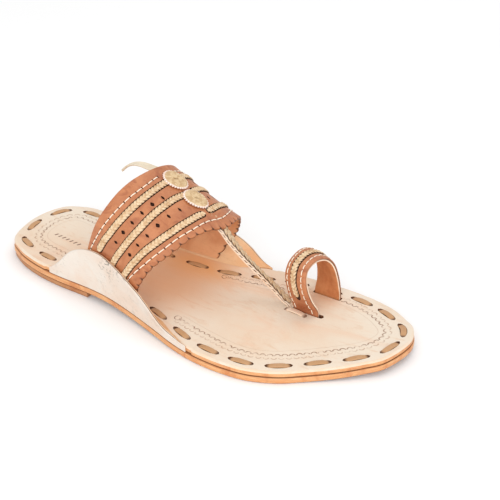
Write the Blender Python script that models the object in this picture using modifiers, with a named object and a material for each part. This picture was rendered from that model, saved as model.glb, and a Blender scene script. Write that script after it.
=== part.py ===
"""Right kolhapuri sandal: two-layer leather sole on a low heel lift, side ears, a braided
instep strap with its centre thong and tail, a toe loop, two rosettes and a laced insole.

Metres, +Z up, +Y towards the toes, +X towards the wearer's right (the outer side).
The heel end lies at y = 0 and the floor at z = 0 while the pieces are worked out; the
finished pieces are then moved so that the middle of the footprint is the origin.
"""
import math
from functools import lru_cache

import bmesh
import bpy
import numpy as np
from mathutils import Vector

# Driving sizes of the sole
SOLE_LENGTH = 0.288
BALL_WIDTH = 0.108
OUTSOLE_THICK = 0.0040
INSOLE_THICK = 0.0037
HEEL_LIFT = 0.0037
HEEL_BREAST = 0.085
RAMP_END = 0.177
TOE_ROCKER = 0.234
TOE_SPRING = 0.0045
EDGE_STEP = 0.0005
EDGE_CHAMFER = 0.0005
CLEARANCE = 0.0003

# Driving sizes of the leather above the sole
EAR_WALL = 0.0024
EAR_HEIGHT = 0.0270
EAR_FLARE = 0.0040
UPPER_WALL = 0.0024
INSTEP_HEIGHT = 0.0725
SCALLOP_DEPTH = 0.0011
BRAID_WIDTH = 0.0047
BRAID_RAISE = 0.0010
HOLE_SIZE = 0.0024
THONG_WIDTH = 0.0080
THONG_THICK = 0.0026
TAIL_WIDTH = 0.0070
TAIL_THICK = 0.0018
LOOP_WALL = 0.0026
LOOP_HEIGHT = 0.0330
LOOP_SPAN = 0.0300
LOOP_WIDTH = 0.0170
ROSETTE_DIAMETER = 0.0162
ROSETTE_THICK = 0.0020
LACE_WIDTH = 0.0040
LACE_THICK = 0.0010
LACE_LENGTH = 0.0155
LACE_PITCH = 0.0236
LACE_INSET = 0.0090

# Counts of facets and of repeats
SPAN_STEPS = 3
BAND_COLUMNS = 62
SMOOTH_ANGLE = math.radians(35)
ROSETTE_TEETH = 28
LACE_SECTIONS = 4

# The sole's outline: station as a share of the length, each side's reach from the
# centre line as a share of the ball width.
OUTLINE = [
    # station, outer, inner
    (0.021, 0.206, 0.247),
    (0.069, 0.301, 0.336),
    (0.118, 0.346, 0.360),
    (0.167, 0.370, 0.356),
    (0.219, 0.380, 0.341),
    (0.267, 0.381, 0.322),
    (0.316, 0.385, 0.307),
    (0.365, 0.398, 0.302),
    (0.417, 0.424, 0.308),
    (0.465, 0.453, 0.327),
    (0.514, 0.487, 0.353),
    (0.563, 0.524, 0.386),
    (0.615, 0.553, 0.415),
    (0.663, 0.564, 0.435),
    (0.712, 0.560, 0.450),
    (0.760, 0.538, 0.457),
    (0.813, 0.475, 0.456),
    (0.861, 0.379, 0.441),
    (0.910, 0.275, 0.399),
    (0.951, 0.173, 0.331),
    (0.983, 0.073, 0.256),
]
HEEL_END = (0.0, -0.033)
TOE_END = (1.0, -0.116)

# The ears: station as a share of the sole's length, height above the insole as a share
# of EAR_HEIGHT, outward lean of the top edge as a share of EAR_FLARE.
EAR_OUTER = [
    # station, height, flare
    (0.184, 0.00, 0.00),
    (0.198, 0.09, 0.05),
    (0.219, 0.29, 0.15),
    (0.239, 0.53, 0.25),
    (0.260, 0.73, 0.35),
    (0.281, 0.85, 0.40),
    (0.306, 0.94, 0.50),
    (0.333, 0.98, 0.60),
    (0.361, 0.98, 0.75),
    (0.389, 0.92, 0.85),
    (0.417, 0.84, 0.95),
    (0.444, 0.74, 1.00),
    (0.472, 0.63, 1.00),
    (0.500, 0.48, 1.00),
    (0.524, 0.31, 0.90),
    (0.547, 0.18, 0.75),
    (0.570, 0.09, 0.45),
    (0.590, 0.04, 0.20),
    (0.610, 0.00, 0.00),
]
EAR_INNER = [
    # station, height, flare
    (0.198, 0.00, 0.00),
    (0.216, 0.12, 0.15),
    (0.237, 0.30, 0.35),
    (0.260, 0.44, 0.50),
    (0.287, 0.54, 0.75),
    (0.313, 0.60, 0.95),
    (0.341, 0.64, 1.15),
    (0.371, 0.67, 1.35),
    (0.401, 0.69, 1.55),
    (0.430, 0.69, 1.70),
    (0.460, 0.67, 1.80),
    (0.490, 0.60, 1.85),
    (0.515, 0.49, 1.80),
    (0.539, 0.32, 1.60),
    (0.559, 0.15, 1.20),
    (0.579, 0.04, 0.60),
    (0.599, 0.00, 0.00),
]
EAR_FEATHER = 0.045
EAR_TIP = 0.0005
POCKET_MARGIN = 0.0040
EAR_ROOM = 0.0007

# The instep strap, from the outer side over the top to the inner side. Across and
# station are shares of BALL_WIDTH and SOLE_LENGTH, height is a share of INSTEP_HEIGHT
# above the insole, and hug is how closely the row lies against the ear.
INSTEP = [
    # rear across, station, height, front across, station, height, hug
    (0.356, 0.278, 0.000, 0.426, 0.430, 0.000, 1.0),
    (0.366, 0.292, 0.180, 0.431, 0.446, 0.139, 1.0),
    (0.373, 0.306, 0.374, 0.432, 0.462, 0.280, 0.8),
    (0.364, 0.332, 0.638, 0.394, 0.481, 0.436, 0.0),
    (0.315, 0.364, 0.870, 0.319, 0.511, 0.566, 0.0),
    (0.213, 0.380, 0.981, 0.204, 0.531, 0.659, 0.0),
    (0.083, 0.389, 1.012, 0.074, 0.548, 0.683, 0.0),
    (-0.046, 0.394, 0.997, -0.046, 0.561, 0.643, 0.0),
    (-0.167, 0.391, 0.924, -0.157, 0.557, 0.622, 0.0),
    (-0.259, 0.375, 0.797, -0.254, 0.545, 0.572, 0.0),
    (-0.315, 0.350, 0.626, -0.329, 0.529, 0.487, 0.0),
    (-0.338, 0.323, 0.430, -0.380, 0.514, 0.360, 0.3),
    (-0.334, 0.299, 0.248, -0.398, 0.502, 0.233, 1.0),
    (-0.315, 0.281, 0.110, -0.389, 0.486, 0.112, 1.0),
    (-0.296, 0.267, 0.000, -0.370, 0.472, 0.000, 1.0),
]
BRAID_ROWS = (0.27, 0.55, 0.79)
BRAID_OUTER_RUN = (0.165, 0.480)
BRAID_INNER_RUN = (0.595, 0.865)
BRAID_RELIEF = [
    # place across the braid as a share of its width, share of the raise on each beat
    (-0.50, 0.00, 0.00),
    (-0.34, 1.00, 0.45),
    (0.00, 0.70, 0.70),
    (0.34, 0.45, 1.00),
    (0.50, 0.00, 0.00),
]
HOLE_ROWS = (0.40, 0.65)
HOLE_RUNS = [
    # first place, last place, number of holes
    (0.213, 0.450, 6),
    (0.640, 0.824, 5),
]
INNER_FACE_ROWS = (1.0, 0.66, 0.33, 0.0)
ROSETTE_ROWS = (0.25, 0.55)
ROSETTE_ALONG = 0.54

# Centre line of the thong and the tail: across as a share of BALL_WIDTH, station as a
# share of SOLE_LENGTH, height above the insole as a share of INSTEP_HEIGHT, width as a
# share of the strap's width, and the tilt of its face towards the inner side in degrees.
THONG = [
    # across, station, height, width, tilt
    (-0.041, 0.505, 0.726, 0.90, 0),
    (-0.043, 0.529, 0.675, 1.00, 4),
    (-0.046, 0.556, 0.602, 1.00, 12),
    (-0.056, 0.580, 0.480, 1.00, 24),
    (-0.073, 0.616, 0.335, 1.00, 32),
    (-0.088, 0.651, 0.218, 1.00, 30),
    (-0.104, 0.684, 0.107, 0.95, 18),
    (-0.114, 0.699, 0.048, 0.80, 6),
    (-0.116, 0.709, 0.016, 0.60, 0),
    (-0.116, 0.712, -0.010, 0.55, 0),
    (-0.116, 0.712, -0.045, 0.55, 0),
]
TAIL = [
    # across, station, height, width, tilt
    (-0.046, 0.435, 0.867, 0.85, 0),
    (-0.044, 0.412, 0.912, 0.95, 0),
    (-0.042, 0.391, 0.949, 1.00, 0),
    (-0.039, 0.366, 0.945, 0.95, 0),
    (-0.036, 0.336, 0.935, 0.80, 0),
    (-0.033, 0.309, 0.905, 0.50, 0),
    (-0.030, 0.288, 0.865, 0.08, 0),
]

# The toe loop, from its outer foot over the top to its inner foot. Rear and front reach
# are shares of LOOP_SPAN from the loop's middle, height is a share of LOOP_HEIGHT above
# the insole, and rear and front are shares of LOOP_WIDTH from the loop's station.
LOOP_ACROSS = -0.224
LOOP_STATION = 0.754
TOE_LOOP = [
    # rear reach, front reach, height, rear, front
    (0.450, 0.450, -0.10, -0.53, 0.50),
    (0.450, 0.450, 0.00, -0.53, 0.50),
    (0.450, 0.460, 0.09, -0.58, 0.47),
    (0.507, 0.590, 0.30, -0.70, 0.38),
    (0.540, 0.673, 0.55, -0.79, 0.26),
    (0.523, 0.673, 0.76, -0.85, 0.17),
    (0.373, 0.523, 0.93, -0.88, 0.05),
    (0.107, 0.273, 1.00, -0.88, 0.02),
    (-0.160, 0.007, 1.00, -0.85, 0.08),
    (-0.410, -0.243, 0.91, -0.76, 0.20),
    (-0.560, -0.393, 0.73, -0.64, 0.35),
    (-0.593, -0.427, 0.49, -0.53, 0.50),
    (-0.543, -0.420, 0.24, -0.47, 0.61),
    (-0.450, -0.430, 0.08, -0.46, 0.62),
    (-0.430, -0.430, 0.00, -0.46, 0.62),
    (-0.430, -0.430, -0.10, -0.46, 0.62),
]
LOOP_COLUMNS = 32
LOOP_BRAID_RUN = (0.24, 0.78)

# The lacing: how far it lies inside the sole's edge on each side, as shares of LACE_INSET.
LACE_LINE = [
    # station, outer, inner
    (0.00, 0.65, 0.65),
    (0.10, 0.90, 0.85),
    (0.20, 1.00, 1.10),
    (0.35, 1.25, 1.80),
    (0.50, 1.05, 1.80),
    (0.60, 0.80, 1.40),
    (0.70, 0.72, 1.00),
    (0.80, 0.68, 0.78),
    (0.90, 0.78, 0.78),
    (1.00, 0.68, 0.68),
]
LACE_SPACING = [
    # share of the stitches counted from the heel, share of the line's length
    (0.000, 0.011),
    (0.074, 0.089),
    (0.259, 0.285),
    (0.481, 0.499),
    (0.593, 0.600),
    (0.778, 0.777),
    (0.926, 0.934),
    (1.000, 1.011),
]
# The short lace that holds the thong's end, beside the toe loop's outer foot.
ANCHOR_ENDS = [
    # across from the foot's face as a share of LACE_WIDTH, along as a share of LOOP_WIDTH
    (0.62, -0.78),
    (0.89, 0.14),
]

# Finishes: linear colour, roughness
FINISHES = {
    "sole_leather": ((0.60, 0.30, 0.11, 1.0), 0.62),
    "insole_leather": ((0.80, 0.64, 0.47, 1.0), 0.58),
    "ear_leather": ((0.84, 0.72, 0.60, 1.0), 0.70),
    "strap_leather": ((0.55, 0.22, 0.09, 1.0), 0.45),
    "rosette_leather": ((0.68, 0.46, 0.22, 1.0), 0.60),
    "lace_leather": ((0.56, 0.33, 0.16, 1.0), 0.60),
}


def clear_scene():
    for obj in list(bpy.data.objects):
        bpy.data.objects.remove(obj, do_unlink=True)


def make_collection(name):
    collection = bpy.data.collections.new(name)
    bpy.context.scene.collection.children.link(collection)
    return collection


def make_material(name):
    colour, roughness = FINISHES[name]
    material = bpy.data.materials.new(name)
    material.use_nodes = True
    shader = material.node_tree.nodes["Principled BSDF"]
    shader.inputs["Base Color"].default_value = colour
    shader.inputs["Roughness"].default_value = roughness
    shader.inputs["Metallic"].default_value = 0.0
    return material


def smoothstep(value):
    value = np.clip(value, 0.0, 1.0)
    return value * value * (3.0 - 2.0 * value)


def catmull(points, places):
    """Points on the smooth curve through the rows of points, at places in row numbers."""
    points = np.asarray(points, float)
    ends = np.vstack([2 * points[0] - points[1], points, 2 * points[-1] - points[-2]])
    places = np.clip(np.asarray(places, float), 0.0, len(points) - 1.0)
    spans = np.minimum(places.astype(int), len(points) - 2)
    t = (places - spans)[:, None]
    a, b, c, d = (ends[spans + k] for k in range(4))
    return 0.5 * (2 * b + (c - a) * t + (2 * a - 5 * b + 4 * c - d) * t ** 2
                  + (3 * b - a - 3 * c + d) * t ** 3)


def closed_curve(points, steps):
    """The smooth closed curve through the points, with steps samples for each span."""
    points = np.asarray(points, float)
    count = len(points)
    wrapped = np.vstack([points[-2:], points, points[:3]])
    places = 2 + np.arange(count * steps) / steps
    return catmull(wrapped, places)


@lru_cache(maxsize=None)
def outline():
    """The sole's edge from the heel end along the outer side, the toe and back."""
    outer = [(out * BALL_WIDTH, y * SOLE_LENGTH) for y, out, _ in OUTLINE]
    inner = [(-inn * BALL_WIDTH, y * SOLE_LENGTH) for y, _, inn in OUTLINE]
    heel = (HEEL_END[1] * BALL_WIDTH, HEEL_END[0] * SOLE_LENGTH)
    toe = (TOE_END[1] * BALL_WIDTH, TOE_END[0] * SOLE_LENGTH)
    return closed_curve([heel] + outer + [toe] + inner[::-1], SPAN_STEPS)


def inward(curve, distance):
    """The closed curve moved inwards by a distance that may change along it."""
    tangent = np.roll(curve, -1, axis=0) - np.roll(curve, 1, axis=0)
    normal = np.stack([-tangent[:, 1], tangent[:, 0]], axis=1)
    normal /= np.linalg.norm(normal, axis=1, keepdims=True)
    return curve + normal * np.reshape(distance, (-1, 1))


def edge_x(y, side):
    """Where the sole's edge lies at station y, on side +1 (outer) or -1 (inner)."""
    curve = outline()
    half = len(curve) // 2
    branch = curve[:half + 1] if side > 0 else np.vstack([curve[half:], curve[:1]])[::-1]
    return np.interp(y, branch[:, 1], branch[:, 0])


def sole_rise(y):
    """Height of the outsole's underside over the floor: heel lift, arch and toe spring."""
    y = np.asarray(y, float)
    lift = HEEL_LIFT + CLEARANCE
    ramp = smoothstep((RAMP_END - y) / (RAMP_END - HEEL_BREAST))
    spring = np.clip((y - TOE_ROCKER) / (SOLE_LENGTH - TOE_ROCKER), 0.0, 1.0) ** 2
    return lift * ramp + TOE_SPRING * spring


def ear_foot(y):
    return sole_rise(y) + OUTSOLE_THICK + CLEARANCE


def seat(y):
    """Height of the insole's upper face."""
    return ear_foot(y) + INSOLE_THICK


def ear_table(side):
    return np.array(EAR_OUTER if side > 0 else EAR_INNER)


def ear_wall(y, side):
    """The ear's thickness, which feathers out towards its two ends."""
    station = np.asarray(y, float) / SOLE_LENGTH
    table = ear_table(side)
    inside = np.minimum(station - table[0, 0], table[-1, 0] - station)
    return np.maximum(EAR_WALL * smoothstep(inside / EAR_FEATHER), EAR_TIP)


def ear_pocket(y, side):
    """How far the insole steps in behind the ear, from a little before its ends."""
    table = ear_table(side)
    before = table[0, 0] * SOLE_LENGTH - POCKET_MARGIN
    after = table[-1, 0] * SOLE_LENGTH + POCKET_MARGIN
    return ear_wall(y, side) + CLEARANCE if before < y < after else 0.0


def ear_row(y, side):
    """Height over the insole and outward lean of the ear's top edge at station y."""
    table = ear_table(side)
    station = np.asarray(y, float) / SOLE_LENGTH
    places = np.interp(station, table[:, 0], np.arange(len(table)))
    rows = catmull(table, np.atleast_1d(places))
    return np.maximum(rows[:, 1], 0.0) * EAR_HEIGHT, np.maximum(rows[:, 2], 0.0) * EAR_FLARE


def ear_lean(y, z, side):
    """How far the ear leans out at height z, beyond the sole's own edge."""
    height, flare = ear_row(y, side)
    share = np.clip((z - seat(y)) / np.maximum(height, EAR_TIP), 0.0, 1.0)
    return flare * share ** 1.4


def ear_inside(y, z, side):
    """Where a strap that lies against the ear's inner face has its outer face."""
    face = np.abs(edge_x(y, side)) - EDGE_STEP - ear_wall(y, side) - EAR_ROOM
    return side * (face + ear_lean(y, z, side))


def new_object(name, mesh, collection, material=None):
    obj = bpy.data.objects.new(name, mesh)
    collection.objects.link(obj)
    if material is not None:
        mesh.materials.append(material)
    return obj


def finish_mesh(name, bm):
    bmesh.ops.remove_doubles(bm, verts=bm.verts, dist=1e-6)
    bmesh.ops.recalc_face_normals(bm, faces=bm.faces)
    mesh = bpy.data.meshes.new(name)
    bm.to_mesh(mesh)
    bm.free()
    mesh.shade_smooth()
    mesh.set_sharp_from_angle(angle=SMOOTH_ANGLE)
    return mesh


def loft(name, rings):
    """A closed solid through rings of equal length, capped at both ends."""
    bm = bmesh.new()
    rows = [[bm.verts.new(Vector(point)) for point in ring] for ring in rings]
    count = len(rows[0])
    for low, high in zip(rows, rows[1:]):
        for k in range(count):
            after = (k + 1) % count
            bm.faces.new((low[k], low[after], high[after], high[k]))
    bm.faces.new(rows[0][::-1])
    bm.faces.new(rows[-1])
    return finish_mesh(name, bm)


def slab(name, curve, bottom, top, cuts):
    """A sheet of leather with the given edge, whose faces follow bottom(y) and top(y)."""
    bm = bmesh.new()
    ring = [bm.verts.new((x, y, 0.0)) for x, y in curve]
    face = bm.faces.new(ring)
    for y in cuts:
        geometry = list(bm.verts) + list(bm.edges) + list(bm.faces)
        bmesh.ops.bisect_plane(bm, geom=geometry, plane_co=(0, y, 0), plane_no=(0, 1, 0), dist=1e-6)
    grown = bmesh.ops.extrude_face_region(bm, geom=list(bm.faces))
    raised = {item for item in grown["geom"] if isinstance(item, bmesh.types.BMVert)}
    for vert in bm.verts:
        height = top if vert in raised else bottom
        vert.co.z = float(height(vert.co.y))
    return finish_mesh(name, bm)


def add_chamfer(obj):
    bevel = obj.modifiers.new("worn edge", "BEVEL")
    bevel.width = EDGE_CHAMFER
    bevel.segments = 1
    bevel.limit_method = "ANGLE"
    bevel.angle_limit = math.radians(50)


def add_boolean(obj, operand, operation):
    modifier = obj.modifiers.new(operand.name, "BOOLEAN")
    modifier.operation = operation
    modifier.solver = "EXACT"
    modifier.object = operand


def hide_guide(obj):
    obj.hide_render = True
    obj.display_type = "WIRE"


def sole_cuts():
    ramp = np.linspace(HEEL_BREAST, RAMP_END, 8)
    spring = np.linspace(TOE_ROCKER, SOLE_LENGTH, 6)[:-1]
    return np.concatenate([ramp, spring])


def make_outsole(collection, material):
    curve = outline()
    mesh = slab("outsole", curve, sole_rise, lambda y: sole_rise(y) + OUTSOLE_THICK, sole_cuts())
    obj = new_object("outsole", mesh, collection, material)
    add_chamfer(obj)
    return obj


def make_heel_lift(collection, material):
    """The low heel under the outsole, cut straight across at its breast."""
    curve = inward(outline(), EDGE_STEP)
    half = len(curve) // 2
    outer, inner = (part[part[:, 1] < HEEL_BREAST] for part in (curve[:half], curve[half:]))
    breast = {side: (edge_x(HEEL_BREAST, side) - side * EDGE_STEP, HEEL_BREAST) for side in (-1, 1)}
    ring = np.vstack([[breast[-1]], inner, outer, [breast[1]]])
    mesh = slab("heel_lift", ring, lambda y: 0.0, lambda y: HEEL_LIFT, [])
    obj = new_object("heel_lift", mesh, collection, material)
    add_chamfer(obj)
    return obj


def insole_curve():
    """The insole's edge, which steps in behind the ears."""
    curve = inward(outline(), EDGE_STEP)
    half = len(curve) // 2
    pocket = [ear_pocket(y, 1 if k < half else -1) for k, (_, y) in enumerate(curve)]
    return inward(curve, pocket)


def box_cutter(name, low, high, collection):
    """A hidden box between two corners, used to cut a slot."""
    bm = bmesh.new()
    bmesh.ops.create_cube(bm, size=1.0)
    for vert in bm.verts:
        vert.co = [low[k] if vert.co[k] < 0 else high[k] for k in range(3)]
    cutter = new_object(name, finish_mesh(name, bm), collection)
    hide_guide(cutter)
    return cutter


def loop_foot(row):
    """Outer face x, rear y and front y of one foot of the toe loop."""
    reach, _, _, rear, front = TOE_LOOP[row]
    middle = LOOP_STATION * SOLE_LENGTH
    x = LOOP_ACROSS * BALL_WIDTH + LOOP_SPAN * reach
    return x, middle + LOOP_WIDTH * rear, middle + LOOP_WIDTH * front


def insole_slots(guides):
    """Slots for the toe loop's two feet and, behind the outer one, for the thong's end."""
    below = float(ear_foot(RAMP_END)) - INSOLE_THICK
    above = float(seat(RAMP_END)) + INSOLE_THICK
    slots = []
    for name, row, side in (("outer foot slot", 0, -1), ("inner foot slot", -1, 1)):
        x, rear, front = loop_foot(row)
        faces = sorted((x - side * CLEARANCE, x + side * (LOOP_WALL + CLEARANCE)))
        low = (faces[0], rear - CLEARANCE, below)
        high = (faces[1], front + CLEARANCE, above)
        slots.append(box_cutter(name, low, high, guides))
    tip = thong_centres()[-1]
    half = 0.5 * THONG_WIDTH * THONG[-1][3] + CLEARANCE
    low = (tip[0] - half, tip[1] - 0.5 * THONG_THICK - 2 * CLEARANCE, below)
    high = (tip[0] + half, loop_foot(0)[1], above)
    slots.append(box_cutter("thong slot", low, high, guides))
    return slots


def make_insole(collection, guides, material):
    mesh = slab("insole", insole_curve(), ear_foot, seat, sole_cuts())
    obj = new_object("insole", mesh, collection, material)
    add_chamfer(obj)
    for slot in insole_slots(guides):
        add_boolean(obj, slot, "DIFFERENCE")
    return obj


def make_ear(name, side, collection, material):
    """A side flap held between the two sole layers and leaning out along its top."""
    table = ear_table(side)
    stations = np.linspace(table[0, 0], table[-1, 0], 30) * SOLE_LENGTH
    rings = []
    for y in stations:
        height, flare = (float(v[0]) for v in ear_row(y, side))
        wall = float(ear_wall(y, side))
        edge = abs(float(edge_x(y, side))) - EDGE_STEP
        top = float(seat(y)) + max(height, 0.0)
        levels = [float(ear_foot(y)), float(seat(y))]
        levels += [float(seat(y)) + (top - float(seat(y)) + EAR_TIP) * k / 4 for k in range(1, 5)]
        outer = []
        for z in levels:
            lean = float(ear_lean(y, z, side)[0])
            outer.append((side * (edge + lean), y, z))
        inner = [(x - side * wall, py, z) for x, py, z in outer]
        rings.append(outer + inner[::-1])
    return new_object(name, loft(name, rings), collection, material)


@lru_cache(maxsize=None)
def strap_rows(across):
    """The strap's rows at one place across it, 0 at the rear edge and 1 at the front."""
    rows = []
    for rear_x, rear_y, rear_h, front_x, front_y, front_h, hug in INSTEP:
        y = SOLE_LENGTH * (rear_y + (front_y - rear_y) * across)
        height = INSTEP_HEIGHT * (rear_h + (front_h - rear_h) * across)
        z = float(seat(y)) + CLEARANCE + height
        x = BALL_WIDTH * (rear_x + (front_x - rear_x) * across)
        side = 1 if x > 0 else -1
        leaning = float(ear_inside(y, z, side)[0])
        rows.append((x + (leaning - x) * hug, y, z))
    return rows


def strap_point(place, across):
    """A point of the instep strap's outer face: place in row numbers, across 0 to 1."""
    return catmull(strap_rows(round(across, 4)), np.atleast_1d(place))


class Strap:
    """The instep strap's outer face, sampled evenly along its middle."""

    def __init__(self):
        fine = np.linspace(0, len(INSTEP) - 1, 400)
        middle = strap_point(fine, 0.5)
        run = np.concatenate([[0], np.cumsum(np.linalg.norm(np.diff(middle, axis=0), axis=1))])
        self.length = run[-1]
        self.fine = fine
        self.share = run / run[-1]

    def point(self, along, across):
        return strap_point(np.interp(along, self.share, self.fine), across)[0]

    def normal(self, along, across):
        step = 0.004
        a0, a1 = max(along - step, 0.0), min(along + step, 1.0)
        c0, c1 = max(across - 0.02, 0.0), min(across + 0.02, 1.0)
        ahead = self.point(a1, across) - self.point(a0, across)
        over = self.point(along, c1) - self.point(along, c0)
        normal = np.cross(over, ahead)
        return normal / np.linalg.norm(normal)

    def lifted(self, along, across, height):
        return self.point(along, across) + height * self.normal(along, across)


def braid_rows(width):
    """Rows across the strap that carry the braids: place, braid share on each beat."""
    rows = [(0.0, 0.0, 0.0)]
    for centre in BRAID_ROWS:
        rows += [(centre + place * BRAID_WIDTH / width, even, odd) for place, even, odd in BRAID_RELIEF]
    return rows + [(1.0, 0.0, 0.0)]


def in_run(value, run):
    return run[0] <= value <= run[1]


def make_strap_body(strap, collection, material):
    """One wall with its braids raised, pinked along its front edge."""
    width = np.linalg.norm(strap.point(0.5, 1.0) - strap.point(0.5, 0.0))
    rings = []
    for column in range(BAND_COLUMNS + 1):
        along = column / BAND_COLUMNS
        braided = in_run(along, BRAID_OUTER_RUN) or in_run(along, BRAID_INNER_RUN)
        ring = []
        for across, even, odd in braid_rows(width):
            raise_share = (odd if column % 2 else even) if braided else 0.0
            point = strap.lifted(along, across, BRAID_RAISE * raise_share)
            ring.append(point)
        forward = ring[-1] - ring[0]
        forward /= np.linalg.norm(forward)
        scallop = forward * SCALLOP_DEPTH * (column % 2)
        ring[-1] = ring[-1] + scallop
        for across in INNER_FACE_ROWS:
            point = strap.lifted(along, across, -UPPER_WALL)
            ring.append(point + scallop if across == 1.0 else point)
        rings.append(ring)
    return new_object("upper", loft("upper", rings), collection, material)


def strip_centres(table):
    centres = []
    for across, station, height, _, _ in table:
        y = station * SOLE_LENGTH
        centres.append((across * BALL_WIDTH, y, float(seat(y)) + CLEARANCE + height * INSTEP_HEIGHT))
    return np.array(centres)


@lru_cache(maxsize=None)
def thong_centres():
    """The thong's centre points, led so that its end goes down just behind the toe loop."""
    centres = strip_centres(THONG)
    room = 0.5 * THONG_THICK + BRAID_RAISE + 2 * CLEARANCE
    pull = loop_foot(0)[1] - room - centres[-1, 1]
    centres[:, 1] += pull * (np.arange(len(centres)) / (len(centres) - 1)) ** 3
    depth = float(ear_foot(centres[-1, 1])) + CLEARANCE
    centres[-1, 2] = depth
    return centres


def strip_rings(table, centres, width, thick, ridge):
    """Rings of a flat strip along its centre points, with a raised middle."""
    places = np.linspace(0, len(table) - 1, 3 * len(table) - 2)
    path = catmull(centres, places)
    shape = catmull([(row[3], row[4]) for row in table], places)
    rings = []
    for k, point in enumerate(path):
        ahead = path[min(k + 1, len(path) - 1)] - path[max(k - 1, 0)]
        ahead /= np.linalg.norm(ahead)
        tilt = math.radians(shape[k, 1])
        flat = np.array([math.cos(tilt), 0.0, math.sin(tilt)])
        flat -= ahead * flat.dot(ahead)
        flat /= np.linalg.norm(flat)
        up = np.cross(flat, ahead)
        half = 0.5 * width * max(shape[k, 0], 0.05)
        lift = ridge * (1.0 if k % 2 else 0.6)
        section = [(-1, -0.5, 0), (1, -0.5, 0), (1, 0.5, 0), (0.72, 0.5, lift),
                   (-0.72, 0.5, lift), (-1, 0.5, 0)]
        rings.append([point + flat * half * a + up * (thick * b + extra) for a, b, extra in section])
    return rings


def make_upper(strap, collection, guides, material):
    """The instep strap with the thong and the tail joined to it, and its holes cut."""
    upper = make_strap_body(strap, collection, material)
    thong_shape = strip_rings(THONG, thong_centres(), THONG_WIDTH, THONG_THICK, BRAID_RAISE)
    tail_shape = strip_rings(TAIL, strip_centres(TAIL), TAIL_WIDTH, TAIL_THICK, 0.0)
    thong = new_object("thong guide", loft("thong", thong_shape), guides)
    tail = new_object("tail guide", loft("tail", tail_shape), guides)
    holes = new_object("hole cutters", hole_cutters(strap), guides)
    for guide, operation in ((thong, "UNION"), (tail, "UNION"), (holes, "DIFFERENCE")):
        hide_guide(guide)
        add_boolean(upper, guide, operation)
    return upper


def hole_cutters(strap):
    bm = bmesh.new()
    for across in HOLE_ROWS:
        for first, last, count in HOLE_RUNS:
            for along in np.linspace(first, last, count):
                centre = Vector(strap.lifted(along, across, -0.5 * UPPER_WALL))
                normal = Vector(strap.normal(along, across))
                turn = normal.to_track_quat("Z", "Y").to_matrix().to_4x4()
                turn.translation = centre
                made = bmesh.ops.create_cube(bm, size=1.0, matrix=turn)
                for vert in made["verts"]:
                    local = turn.inverted() @ vert.co
                    local.x *= HOLE_SIZE
                    local.y *= HOLE_SIZE
                    local.z *= 3.0 * UPPER_WALL
                    vert.co = turn @ local
    return finish_mesh("hole cutters", bm)


def loop_point(place, across):
    """A point of the toe loop's outer face: place in row numbers, across 0 to 1."""
    rows = []
    for rear_reach, front_reach, height, rear, front in TOE_LOOP:
        reach = rear_reach + (front_reach - rear_reach) * across
        y = LOOP_STATION * SOLE_LENGTH + LOOP_WIDTH * (rear + (front - rear) * across)
        x = LOOP_ACROSS * BALL_WIDTH + LOOP_SPAN * reach
        z = float(seat(y)) + CLEARANCE + LOOP_HEIGHT * height
        rows.append((x, y, z))
    return catmull(rows, np.atleast_1d(place))[0]


def make_toe_loop(collection, material):
    last = len(TOE_LOOP) - 1
    rings = []
    for column in range(LOOP_COLUMNS + 1):
        place = last * column / LOOP_COLUMNS
        braided = in_run(column / LOOP_COLUMNS, LOOP_BRAID_RUN)
        before = loop_point(max(place - 0.2, 0), 0.5)
        after = loop_point(min(place + 0.2, last), 0.5)
        over = loop_point(place, 1.0) - loop_point(place, 0.0)
        normal = np.cross(over, after - before)
        normal /= np.linalg.norm(normal)
        ring = [loop_point(place, 0.0)]
        for where, even, odd in BRAID_RELIEF:
            raise_share = (odd if column % 2 else even) if braided else 0.0
            across = 0.5 + where * BRAID_WIDTH / LOOP_WIDTH
            ring.append(loop_point(place, across) + normal * BRAID_RAISE * raise_share)
        ring.append(loop_point(place, 1.0))
        ring += [loop_point(place, across) - normal * LOOP_WALL for across in (1.0, 0.5, 0.0)]
        rings.append(ring)
    return new_object("toe_loop", loft("toe_loop", rings), collection, material)


def make_rosette(name, strap, across, collection, material):
    """A pinked disc that follows the strap's crown."""
    width = np.linalg.norm(strap.point(ROSETTE_ALONG, 1.0) - strap.point(ROSETTE_ALONG, 0.0))

    def place(radius, angle, height):
        along = ROSETTE_ALONG + radius * math.cos(angle) / strap.length
        return strap.lifted(along, across + radius * math.sin(angle) / width, height)

    points = 2 * ROSETTE_TEETH
    radius = 0.5 * ROSETTE_DIAMETER
    low = CLEARANCE
    high = CLEARANCE + ROSETTE_THICK
    profile = [(0.25, low), (1.0, low + 0.3 * ROSETTE_THICK), (0.98, high - 0.35 * ROSETTE_THICK),
               (0.80, high), (0.25, high)]
    rings = []
    for share, height in profile:
        ring = []
        for k in range(points):
            tooth = 0.94 if k % 2 and share > 0.9 else 1.0
            ring.append(place(radius * share * tooth, 2 * math.pi * k / points, height))
        rings.append(ring)
    return new_object(name, loft(name, rings), collection, material)


def lace_curve():
    """The closed line round the insole that the lacing follows."""
    curve = outline()
    half = len(curve) // 2
    table = np.array(LACE_LINE)
    stations = curve[:, 1] / SOLE_LENGTH
    outer = np.interp(stations, table[:, 0], table[:, 1])
    inner = np.interp(stations, table[:, 0], table[:, 2])
    inset = LACE_INSET * np.where(np.arange(len(curve)) < half, outer, inner)
    return inward(curve, EDGE_STEP + inset)


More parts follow.
